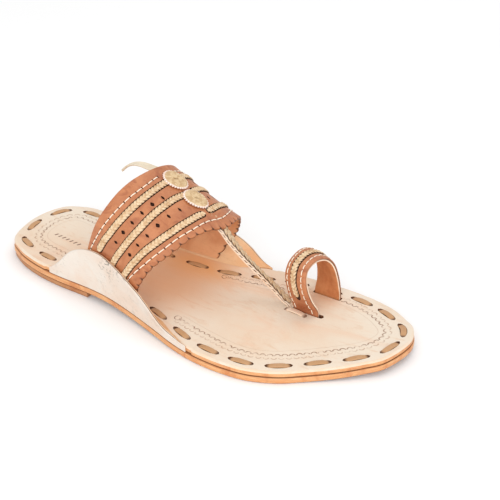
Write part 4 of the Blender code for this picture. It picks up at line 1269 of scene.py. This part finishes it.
class SANDAL_OT_insole(Making):
    """Casts the insole with its lacing slits, its slots for the loop's feet and its tooling"""

    bl_idname = "sandal.insole"
    bl_label = "Insole"

    def make(self, sizes):
        def level(y, drop):
            return seat(y) + drop * INSOLE_THICK

        curve = outline()
        pocket = EDGE_STEP + by_side(curve, ear_pocket(curve[:, 1], 1), ear_pocket(curve[:, 1], -1))
        border = inset_line(TOOL_LINE, curve)
        tooled = softened(inward(curve, border), 11)
        run = run_of(np.vstack([tooled, tooled[:1]]))[:-1]
        # Inset, height below the upper face as a share of the thickness, painted shade at the lower seam
        rim = [(0.0009, -1.0, 0.9), (0.0002, -0.96, 0.8), (0.0, -0.82, 0.1), (0.0, -0.30, 0.0),
               (0.00015, -0.12, 0.0), (0.0006, -0.03, 0.0), (0.0015, 0.0, 0.0)]
        rim = [(pocket + inset, drop, edge_shade) for inset, drop, edge_shade in rim]
        rim += [(np.maximum(border * share, pocket + 0.0024), 0.0, 0.0) for share in (0.42, 0.60)]
        offsets = (-0.0042, -0.0021, 0.0, 0.0021, 0.0042, 0.0064)
        rings, creases = profiled(curve, rim, level)
        more, clean = profiled(tooled, [(offset, 0.0, 0.0) for offset in offsets], level)
        across = [np.minimum(inset - border, -0.0045) for inset, _, _ in rim]
        across += [np.full(len(curve), offset) for offset in offsets]
        spots = np.stack([np.stack([run, row], axis=1) for row in across])
        mould = Mould()
        index = ring_sheet(mould, rings + more, creases + clean, [2] * 3 + [1] * 3 + [0] * 8, spots)
        bridge(mould, index[-1], more[-1][:, :2], seat, 0, 14, spots[-1])
        mould.cap(index[0][::-1], 1)
        leather = insole_finish(bpy.context.scene.sandal_colours, *self.tooled_stretches(tooled, run))
        cast("insole_leather", mould, "insole_leather", ["insole"], leather, "insole edge", "sole edge",
             cutter=self.slots(), walls="slit wall")

    def tooled_stretches(self, tooled, run):
        """Where the tooling starts and stops, as runs along the border's line, and its curls."""
        half = len(tooled) // 2

        def run_at(side, station):
            part = slice(0, half) if side > 0 else slice(half, None)
            return float(run[part][np.argmin(np.abs(tooled[part, 1] - station * SOLE_LENGTH))])

        (heel_end, heel_start), front, arch = [[run_at(*end) for end in pair] for pair in TOOLED]
        stretches = [(-0.01, heel_start), (heel_end, float(run[-1]) + 0.01), front, arch]
        return stretches, [front[0], arch[1]]

    def slots(self):
        """Cutters for the lacing's slits and for the loop's two feet."""
        mould = Mould()
        for path in lace_paths():
            level = float(seat(path[LACE_STEPS // 2, 1]))
            prism(mould, lens_ring(path, SLIT_HALF, SLIT_REACH), level - SLIT_DEPTH, level + 0.004)
        below = float(ear_foot(RAMP_END)) + FOOT_ROOM
        above = float(seat(RAMP_END)) + INSOLE_THICK
        for row, side in ((0, -1), (-1, 1)):
            x, rear, front = loop_foot(row)
            near, far = x - side * EDGE_STEP, x + side * (LOOP_WALL + 0.0007)
            ring = [(near, rear - FOOT_ROOM), (near, front + FOOT_ROOM)]
            if row == 0:
                ring += [(near - 0.0004, front + 0.0026), (near - 0.0022, front + 0.0034),
                         (far, front + 0.0024)]
            prism(mould, ring + [(far, front + FOOT_ROOM), (far, rear - FOOT_ROOM)], below, above)
        return mould


class SANDAL_OT_ears(Making):
    """Casts the two side ears: a pale outer layer and a warm lining with a seam between"""

    bl_idname = "sandal.ears"
    bl_label = "Side ears"

    def make(self, sizes):
        for node, side in (("ear_lateral", 1), ("ear_medial", -1)):
            self.make_ear(node, side)

    def make_ear(self, node, side):
        table = ear_table(side)
        y = np.linspace(table[0, 0], table[-1, 0], 150) * SOLE_LENGTH
        height, wall = ear_row(y, side)[0], ear_wall(y, side)
        foot, base = ear_foot(y), seat(y)
        top = base + height + EAR_TIP
        lip = np.minimum(0.5 * wall, 0.35 * (top - base))
        cove = np.minimum(0.0042, 0.45 * height)
        # The rolled top edge: inset as a share of the wall, drop as a share of the lip, painted shade in
        # the groove between the layers
        edge = [(0.06, 0.45, 0.0), (0.18, 0.1, 0.0), (0.34, 0.0, 0.0), (0.45, 0.25, 0.7),
                (0.52, 0.9, 1.0), (0.58, 0.3, 0.6), (0.70, 0.05, 0.0), (0.90, 0.2, 0.0)]
        points = [(0 * y, z, 0.0) for z in (foot, 0.5 * (foot + base), *np.linspace(base, top - lip, 11))]
        points += [(share * wall, top - drop * lip, edge_shade) for share, drop, edge_shade in edge]
        points += [(wall, z, 0.0) for z in np.linspace(top - lip, base + cove, 8)]
        points += [(wall + cove * (1 - share) ** 2.2, base + cove * share, 0.0)
                   for share in (0.75, 0.5, 0.25, 0.08)]
        # A touch of painted shade where the ear meets the insole.
        points += [(wall + cove, base + 0.00006, 0.1), (wall + 0.8 * cove, base - 0.0001, 0.0),
                   (wall, base - 0.0002, 0.0), (wall, foot, 0.0)]
        inset, z, edge_shade = zip(*points)
        x = side * (np.abs(edge_x(y, side)) - EDGE_STEP + ear_lean(y, np.array(z), side) - inset)
        rings = np.stack([x, np.broadcast_to(y, x.shape), z], axis=2).swapaxes(0, 1)
        kinds = [0] * 15 + [2] * 4 + [1] * (len(points) - 19)
        mould = Mould()
        mould.tube(rings, edge_shade, kinds)
        cast(f"{node}_leather", mould, "ear_leather", [node], "ear leather", "ear lining", "cut edge")


def lobe_shape(along, lobes):
    """The scallop's share of its full depth and how sharply it dips, at shares along."""
    swell = np.sin(math.pi * np.mod(along * lobes - 0.30, 1.0))
    return swell ** 0.45, 1 - np.clip(swell * 2.1, 0, 1)


def braid_slot(mould, face, table, sizes, depth, point=1.0):
    capsule(mould, face, table, 0.5 * sizes.braid_width + sizes.slot_room, depth, point)


class SANDAL_OT_strap(Making):
    """Casts the instep strap, scalloped in front, with its slots, holes and needle slits cut"""

    bl_idname = "sandal.strap"
    bl_label = "Instep strap"

    def make(self, sizes):
        face = strap_face()
        metre = 1 / face.width
        along = np.linspace(0, 1, sizes.lobes * 12 + 1)[:, None]
        every = np.ones_like(along)
        swell, dip = lobe_shape(along, sizes.lobes)
        reach = (swell * 1.35 - 0.35) * 0.5 * sizes.lobe_depth * metre
        rear = np.array([0.0, 0.08, 0.35, 0.9]) * 0.0009 * metre
        across = np.concatenate([rear[1:], np.linspace(rear[-1], 1 - 0.055, 40)[1:],
                                 1 - np.array([0.046, 0.036, 0.026, 0.016, 0.008])])
        near = np.clip((across - 0.950) / 0.040, 0, 1)
        drop = np.interp(across, rear, [-0.0012, -0.0006, -0.00015, 0.0], right=0.0)
        end = 1.0 + reach
        back = np.linspace(end[:, 0] - 0.0015 * metre, 0.0012 * metre, 14, axis=1)
        # Four parts of the section: the upper face, the front rim, the lining and the rear rim
        rim = np.array([-0.0004, 0.0, 0.0001, -0.0004]) * metre
        places = np.hstack([across + near ** 2 * reach, end + rim, back, every * [0.0004 * metre, 0.0]])
        heights = np.hstack([drop - 0.0009 * dip * near ** 1.2,
                             np.array([-0.0002, -0.0007, -0.0014, -0.0021]) - 0.00045 * dip,
                             np.full_like(back, -UPPER_WALL), every * [-0.0022, -0.0018]])
        # Painted shade in the scallops' dips and along the front and rear rims.
        dark = np.hstack([dip * near * 0.95, dip * 0.9 + np.array([0.1, 0.4, 0.6, 0.5]), 0 * back,
                          every * [0.2, 0.2]])
        kinds = [0] * (len(across) + 3) + [1] * 15 + [0] * 2
        mould = Mould()
        mould.tube(face.at(along, places, heights), np.clip(dark, 0, 1), kinds)
        cast("strap_leather", mould, "strap_leather", ["upper"], "strap leather", "strap lining",
             cutter=self.cutters(face, sizes), walls="slot wall")

    def cutters(self, face, sizes):
        mould = Mould()
        for table in BRAIDS:
            braid_slot(mould, face, table, sizes, sizes.slot_depth)
        # The corners of a hole, as shares of its half width and half length
        lozenge = [(-1, 0), (-0.35, -0.72), (0.1, -1), (0.6, -0.6), (1, 0), (0.5, 0.7), (-0.1, 1),
                   (-0.7, 0.55)]
        for number, (a0, c0, a1, c1, count) in enumerate(HOLES):
            for k in range(count):
                share = k / (count - 1)
                wide = 0.28 * (1.25 if (k + number) % 3 == 1 else 0.85)
                shape = np.array(lozenge) * (wide * sizes.hole_length, 0.5 * sizes.hole_length)
                face_prism(mould, face, a0 + (a1 - a0) * share, c0 + (c1 - c0) * share, shape,
                           0.75 * UPPER_WALL)
        slit = np.array([(-1, -3), (1, -3), (1, 3), (-1, 3)]) * 0.0003
        for table, pitch in ((REAR_STITCHES, sizes.rear_stitch), (FRONT_STITCHES, sizes.front_stitch)):
            for along, across in face.line(table, pitch):
                face_prism(mould, face, along, across, slit, 0.0008, 0.0006)
        return mould


class SANDAL_OT_braids(Making):
    """Plaits the six braids that lie in the strap's slots"""

    bl_idname = "sandal.braids"
    bl_label = "Strap braids"

    def make(self, sizes):
        mould = Mould()
        for table in BRAIDS:
            face_plait(mould, strap_face(), table, sizes.braid_width, sizes.braid_pitch)
        cast("strap_braids", mould, "strap_leather", (), "braid leather", angle=70)


def sew(mould, face, table, pitch, wide, skip=None):
    """Running stitches along a line drawn on a face, each diving into a needle slit."""
    marks = face.line(table, pitch)
    share = np.linspace(0.07, 0.93, 9)[:, None]
    arch = np.sin(math.pi * np.linspace(0, 1, 9)) ** 0.5
    taper = 0.5 * wide * (0.72 + 0.28 * arch)
    spots = np.stack(np.broadcast_arrays(share * pitch, np.linspace(0, 0.0024, 9)), axis=2)
    for first, last in zip(marks, marks[1:]):
        if skip is None or not skip(*(0.5 * (first + last))):
            path, ups = face.follow(first + (last - first) * share, -0.0003 + 0.00062 * arch)
            rings = rounded_rings(path, ups, taper, taper * 0.8)
            # Painted shade at each stitch's ends, where it dives into the leather.
            mould.tube(rings, (1 - arch)[:, None] * 0.7, 0, spots)


class SANDAL_OT_stitching(Making):
    """Sews the strap's two lines of running stitches"""

    bl_idname = "sandal.stitching"
    bl_label = "Strap stitching"

    def make(self, sizes):
        def under_rosette(along, across):
            return abs(along - ROSETTE_ALONG) < 0.034 and across < 0.4

        mould = Mould()
        sew(mould, strap_face(), REAR_STITCHES, sizes.rear_stitch, sizes.thread_width, under_rosette)
        sew(mould, strap_face(), FRONT_STITCHES, sizes.front_stitch, sizes.thread_width)
        cast("strap_stitching", mould, "strap_leather", (), "thread")


def flat_strip(mould, path, flats, ups, half, low, high, flat_kind, edge_kind):
    """A flat strip with rounded cut edges, from height low to high over its path."""
    wide, tall = turned(48, 0.32, 0.55)
    rings = ringed(path, flats, ups, wide * half[:, None], 0.5 * (low + high) + 0.5 * (high - low) * tall)
    mould.tube(rings, 0.0, np.where(np.abs(wide) > 0.93, edge_kind, flat_kind))


class SANDAL_OT_thong(Making):
    """Lays the centre thong: two leather layers with a seam, and the plait upon them"""

    bl_idname = "sandal.thong"
    bl_label = "Thong"

    def make(self, sizes):
        path, flats, ups, width = strip_frames(THONG, thong_centres(), 12)
        half = 0.5 * THONG_WIDTH * width
        body = 0.5 * THONG_THICK
        mould = Mould()
        # Share of the width, lower and upper height as shares of the body, kinds of face and edge
        for share, low, high, *kinds in ((0.92, -1.0, -0.10, 0, 1), (0.80, -0.2, 0.2, 2, 2),
                                         (0.88, 0.10, 0.78, 0, 1)):
            flat_strip(mould, path, flats, ups, half * share, low * body, high * body, *kinds)
        # The narrow middle layer takes the slot wall's painted shade, as the dark gap between the two
        # layers.
        cast("thong_leather", mould, "strap_leather", (), "insole edge", "cut edge", "slot wall")
        shown = slice(8, int(len(path) * 0.78))
        mould = Mould()
        plait(mould, path[shown] + ups[shown] * (0.95 * body), flats[shown], ups[shown],
              sizes.plait_width, PLAIT_THICK, sizes.plait_pitch)
        cast("thong_plait", mould, "strap_leather", (), "thong braid", angle=70)
        self.sew_edge(path, flats, ups, half)

    def sew_edge(self, path, flats, ups, half):
        """Small slanting stitches over the seam on both edges of the thong."""
        mould = Mould()
        run = run_of(path)
        for side in (-1, 1):
            for mark in np.arange(0.006, run[-1] - 0.012, EDGE_STITCH):
                places = mark + np.linspace(-0.0011, 0.0011, 7)
                spine, flat, up = (sample(places, run, part) for part in (path, flats, ups))
                flat = side * unit(flat)
                reach = sample(places, run, half[:, None]) * 0.86 + 0.0002
                line = spine + flat * reach + unit(up) * np.linspace(-0.0002, 0.0005, 7)[:, None]
                mould.tube(rounded_rings(line, flat, 0.00024, 0.00022, 6))
        cast("thong_stitching", mould, "strap_leather", (), "thread")


class SANDAL_OT_tail(Making):
    """Lays the pointed leather tail behind the strap, curled at its tip"""

    bl_idname = "sandal.tail"
    bl_label = "Tail"

    def make(self, sizes):
        path, flats, ups, width = strip_frames(TAIL, strip_centres(TAIL), 12)
        share = np.linspace(0, 1, len(path))
        path = path + ups * (0.0010 * np.sin(share * 7.0))[:, None]
        path[:, 2] -= 0.0016 * np.clip((share - 0.72) / 0.28, 0, 1) ** 2
        across = np.linspace(-1, 1, 16)
        wide = across * (0.5 * TAIL_WIDTH * width)[:, None]
        cup = 0.0006 * (1 - across ** 2)
        thick = 0.4 * TAIL_THICK * (1 - 0.75 * np.abs(across) ** 6)
        top, low = (ringed(path, flats, ups, wide, cup + way * thick) for way in (1, -1))
        mould = Mould()
        mould.tube(np.concatenate([top, low[:, ::-1]], axis=1))
        cast("tail_leather", mould, "strap_leather", (), "tail leather")


class SANDAL_OT_toe_loop(Making):
    """Casts the toe loop with its lining, its slot and braid and its two lines of thread"""

    bl_idname = "sandal.toe_loop"
    bl_label = "Toe loop"

    def make(self, sizes):
        face = loop_face()
        metre = 1 / face.width
        near = np.array([0.0006, 0.0013, 0.0022]) * metre
        across = np.concatenate([near[:2], np.linspace(near[2], 1 - near[2], 22), 1 - near[1::-1]])
        drop = np.concatenate([[-0.00012, -0.00003], np.zeros(22), [-0.00003, -0.00012]])
        half = 0.5 * LOOP_WALL
        # The cut edge: distance from the edge across, height, painted shade in the groove between the
        # layers
        rim = [(0.0001, -0.0005, 0.25), (0.0, -0.8 * half, 0.35), (0.0003, -0.95 * half, 1.0),
               (0.0007, -1.05 * half, 1.0), (0.0002, -1.15 * half, 0.3), (0.0001, -1.5 * half, 0.0),
               (0.0003, -1.85 * half, 0.0)]
        reach, level, edge_shade = np.transpose(rim)
        reach = reach * metre
        back = np.linspace(1 - 0.0010 * metre, 0.0010 * metre, 14)
        places = np.concatenate([across, 1 - reach, back, reach[::-1]])
        heights = np.concatenate([drop, level, np.full(14, -LOOP_WALL), level[::-1]])
        creases = np.concatenate([np.zeros(len(across)), edge_shade, np.zeros(14), edge_shade[::-1]])
        kinds = [0] * (len(across) + 3) + [2] * 3 + [1] * 15 + [2] * 3 + [0] * 4
        mould = Mould()
        mould.tube(face.at(np.linspace(0, 1, 181)[:, None], places, heights), creases, kinds)
        cutter = Mould()
        braid_slot(cutter, face, LOOP_BRAID, sizes, 0.0010, 1.9)
        cast("toe_loop_leather", mould, "strap_leather", ["toe_loop"], "strap leather", "loop lining",
             "cut edge", cutter=cutter, walls="slot wall")
        mould = Mould()
        face_plait(mould, face, LOOP_BRAID, sizes.braid_width, sizes.braid_pitch)
        cast("toe_loop_braid", mould, "strap_leather", (), "braid leather", angle=70)
        mould = Mould()
        for table in LOOP_STITCHES:
            sew(mould, face, table, EDGE_STITCH, 0.9 * sizes.thread_width)
        cast("toe_loop_stitching", mould, "strap_leather", (), "thread")


class SANDAL_OT_rosettes(Making):
    """Sets the two pinked rosettes on the strap's crown"""

    bl_idname = "sandal.rosettes"
    bl_label = "Rosettes"

    def make(self, sizes):
        for node, across, turn in zip(("rosette_rear", "rosette_front"), ROSETTE_ROWS, (0.35, 0.75)):
            self.make_rosette(node, across, turn, sizes.rosette_teeth * 8)

    def make_rosette(self, node, across, turn, count):
        face = strap_face()
        angle = np.linspace(0, 2 * math.pi, count, endpoint=False)
        tooth = np.abs(np.mod(np.arange(count) / 8.0, 1.0) - 0.5) * 2
        # Share of the radius, height, whether it lies in the teeth
        profile = [(0.30, 0.0003, 0), (0.80, 0.0004, 0), (1.00, 0.0008, 1), (1.005, 0.0012, 1),
                   (0.985, 0.0016, 1), (0.94, 0.0018, 1), (0.88, 0.0020, 0), (0.80, 0.0021, 0),
                   (0.70, 0.0022, 0)]
        profile += [(share, 0.0023, 0) for share in (0.60, 0.50, 0.42, 0.34, 0.26, 0.19, 0.12, 0.06)]
        rings, creases = [], []
        for share, height, toothed in profile:
            reach = 0.5 * ROSETTE_DIAMETER * (share - toothed * 0.105 * tooth * (share - 0.85) / 0.15)
            east, north = reach * np.cos(angle), reach * np.sin(angle)
            along = east * math.cos(turn) + north * math.sin(turn)
            aside = -east * math.sin(turn) + north * math.cos(turn)
            slit = np.exp(-(aside / 0.00030) ** 2) * np.clip(1 - (along / 0.0024) ** 2, 0, 1)
            lips = np.exp(-((np.abs(aside) - 0.0007) / 0.00035) ** 2)
            lips = lips * np.clip(1 - (along / 0.003) ** 2, 0, 1)
            ripple = 0.00013 * np.sin(angle * 5 + 7.8 * share) + 0.0001 * np.sin(angle * 9 - share * 11)
            upper = 1.0 if height > 0.0017 else 0.0
            lift = CLEARANCE + height * 0.86 + upper * (ripple * share - 0.0006 * slit + 0.00016 * lips)
            rings.append(face.at(ROSETTE_ALONG + east / face.length, across + north / face.width, lift))
            # Painted shade in the centre slit and in the notches between the teeth.
            creases.append(upper * slit + toothed * 0.65 * tooth ** 3)
        shares = np.array([share for share, _, _ in profile])
        spots = np.stack(np.broadcast_arrays(shares[:, None], np.linspace(0, 1, count + 1)), axis=2)
        mould = Mould()
        mould.tube(rings, creases, 0, spots)
        cast(f"{node}_leather", mould, "rosette_leather", [node], "rosette leather", angle=60)


class SANDAL_OT_lacing(Making):
    """Threads the lacing round the insole and over the thong's end"""

    bl_idname = "sandal.lacing"
    bl_label = "Lacing"

    def make(self, sizes):
        for number, path in enumerate(lace_paths(), 1):
            self.make_lace(f"{number:02d}", path, -0.0014, 0.00035, "lace leather")
        self.make_lace("anchor", anchor_path(), -0.0004, 0.0010, "cut edge")

    def make_lace(self, name, path, sunk, proud, leather):
        share = np.abs(np.linspace(-1, 1, len(path)))
        arch = 1 - share ** 2.6
        spine = np.column_stack([path, seat(path[:, 1]) + sunk + (proud - sunk) * arch])
        half = 0.5 * LACE_WIDTH * (0.78 + 0.16 * arch)
        mould = Mould()
        # Painted shade towards the ends, where the lace dives into its slits.
        mould.tube(rounded_rings(spine, (0.0, 0.0, 1.0), half, 0.5 * LACE_THICK, 20, (0.4, 0.7)),
                   np.clip((share - 0.62) / 0.30, 0, 1)[:, None])
        cast(f"lacing_{name}", mould, "lace_leather", [f"lace_{name}"], leather)


class SANDAL_OT_stage(Making):
    """Sets the pale floor, the soft studio light and the camera"""

    bl_idname = "sandal.stage"
    bl_label = "Stage"

    def make(self, sizes):
        scene = bpy.context.scene
        scene.view_settings.view_transform = "Standard"
        self.make_floor()
        world = bpy.data.worlds.new("studio")
        world.use_nodes = True
        background = world.node_tree.nodes["Background"]
        background.inputs["Color"].default_value = (1.0, 1.0, 1.0, 1.0)
        background.inputs["Strength"].default_value = 0.86
        scene.world = world
        for name, where, aim, size, power in (
                ("key light", (-0.35, 0.15, 1.25), (0.0, 0.0, 0.02), 1.1, 3.4),
                ("front light", (1.05, 0.60, 0.55), (0.0, 0.02, 0.02), 0.9, 8.0)):
            lamp = bpy.data.lights.new(name, "AREA")
            lamp.size = size
            lamp.energy = power
            self.put(lamp, where, Vector(aim) - Vector(where))
        camera = bpy.data.cameras.new("camera")
        camera.lens = 83.76
        camera.sensor_width = 36.0
        camera.clip_end = 20.0
        scene.camera = self.put(camera, (0.50138, 0.36935, 0.41288), Vector((-0.71745, -0.46725, -0.51666)))

    def put(self, data, where, direction):
        """Stands a lamp or the camera at a place and turns it in a direction."""
        holder = bpy.data.objects.new(data.name, data)
        holder.location = where
        holder.rotation_euler = direction.to_track_quat("-Z", "Y").to_euler()
        bpy.context.scene.collection.objects.link(holder)
        return holder

    def make_floor(self):
        mesh = bpy.data.meshes.new("floor")
        mesh.from_pydata([(-4, -4, 0), (4, -4, 0), (4, 4, 0), (-4, 4, 0)], [], [(0, 1, 2, 3)])
        floor = bpy.data.objects.new("floor", mesh)
        bpy.context.scene.collection.objects.link(floor)
        finish = Finish("floor paper")
        tint = finish.mix(finish.noise(3.0, 2.0), (0.93, 0.93, 0.93), (0.96, 0.96, 0.96))
        finish.feed(finish.shader, {"Base Color": tint, "Roughness": 0.9, "Specular IOR Level": 0.1})
        mesh.materials.append(finish.material)
        floor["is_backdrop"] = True


class SANDAL_PT_panel(Panel):
    """Lists the sandal's pieces, sizes and colours"""

    bl_idname = "SANDAL_PT_panel"
    bl_label = "Toe-loop sandal"
    bl_space_type = "VIEW_3D"
    bl_region_type = "UI"
    bl_category = "Sandal"

    def draw(self, context):
        layout = self.layout
        for piece in PIECES:
            layout.operator(piece.bl_idname)
        for group in (context.scene.sandal_sizes, context.scene.sandal_colours):
            box = layout.box()
            for key in group.__annotations__:
                box.prop(group, key)


PIECES = [
    SANDAL_OT_outsole,
    SANDAL_OT_insole,
    SANDAL_OT_ears,
    SANDAL_OT_strap,
    SANDAL_OT_braids,
    SANDAL_OT_stitching,
    SANDAL_OT_thong,
    SANDAL_OT_tail,
    SANDAL_OT_toe_loop,
    SANDAL_OT_rosettes,
    SANDAL_OT_lacing,
    SANDAL_OT_stage,
]


def register():
    for group in (SandalSizes, SandalColours, *PIECES, SANDAL_PT_panel):
        bpy.utils.register_class(group)
    bpy.types.Scene.sandal_sizes = PointerProperty(type=SandalSizes)
    bpy.types.Scene.sandal_colours = PointerProperty(type=SandalColours)


def unregister():
    del bpy.types.Scene.sandal_colours
    del bpy.types.Scene.sandal_sizes
    for group in (SANDAL_PT_panel, *PIECES[::-1], SandalColours, SandalSizes):
        bpy.utils.unregister_class(group)


def main():
    register()
    for piece in PIECES:
        group, name = piece.bl_idname.split(".")
        getattr(getattr(bpy.ops, group), name)()
    boxes = {"cad": FRAME_BOX, "visual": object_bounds()}
    {key: [list(corner) for corner in box] for key, box in boxes.items()}


if __name__ == "__main__":
    main()
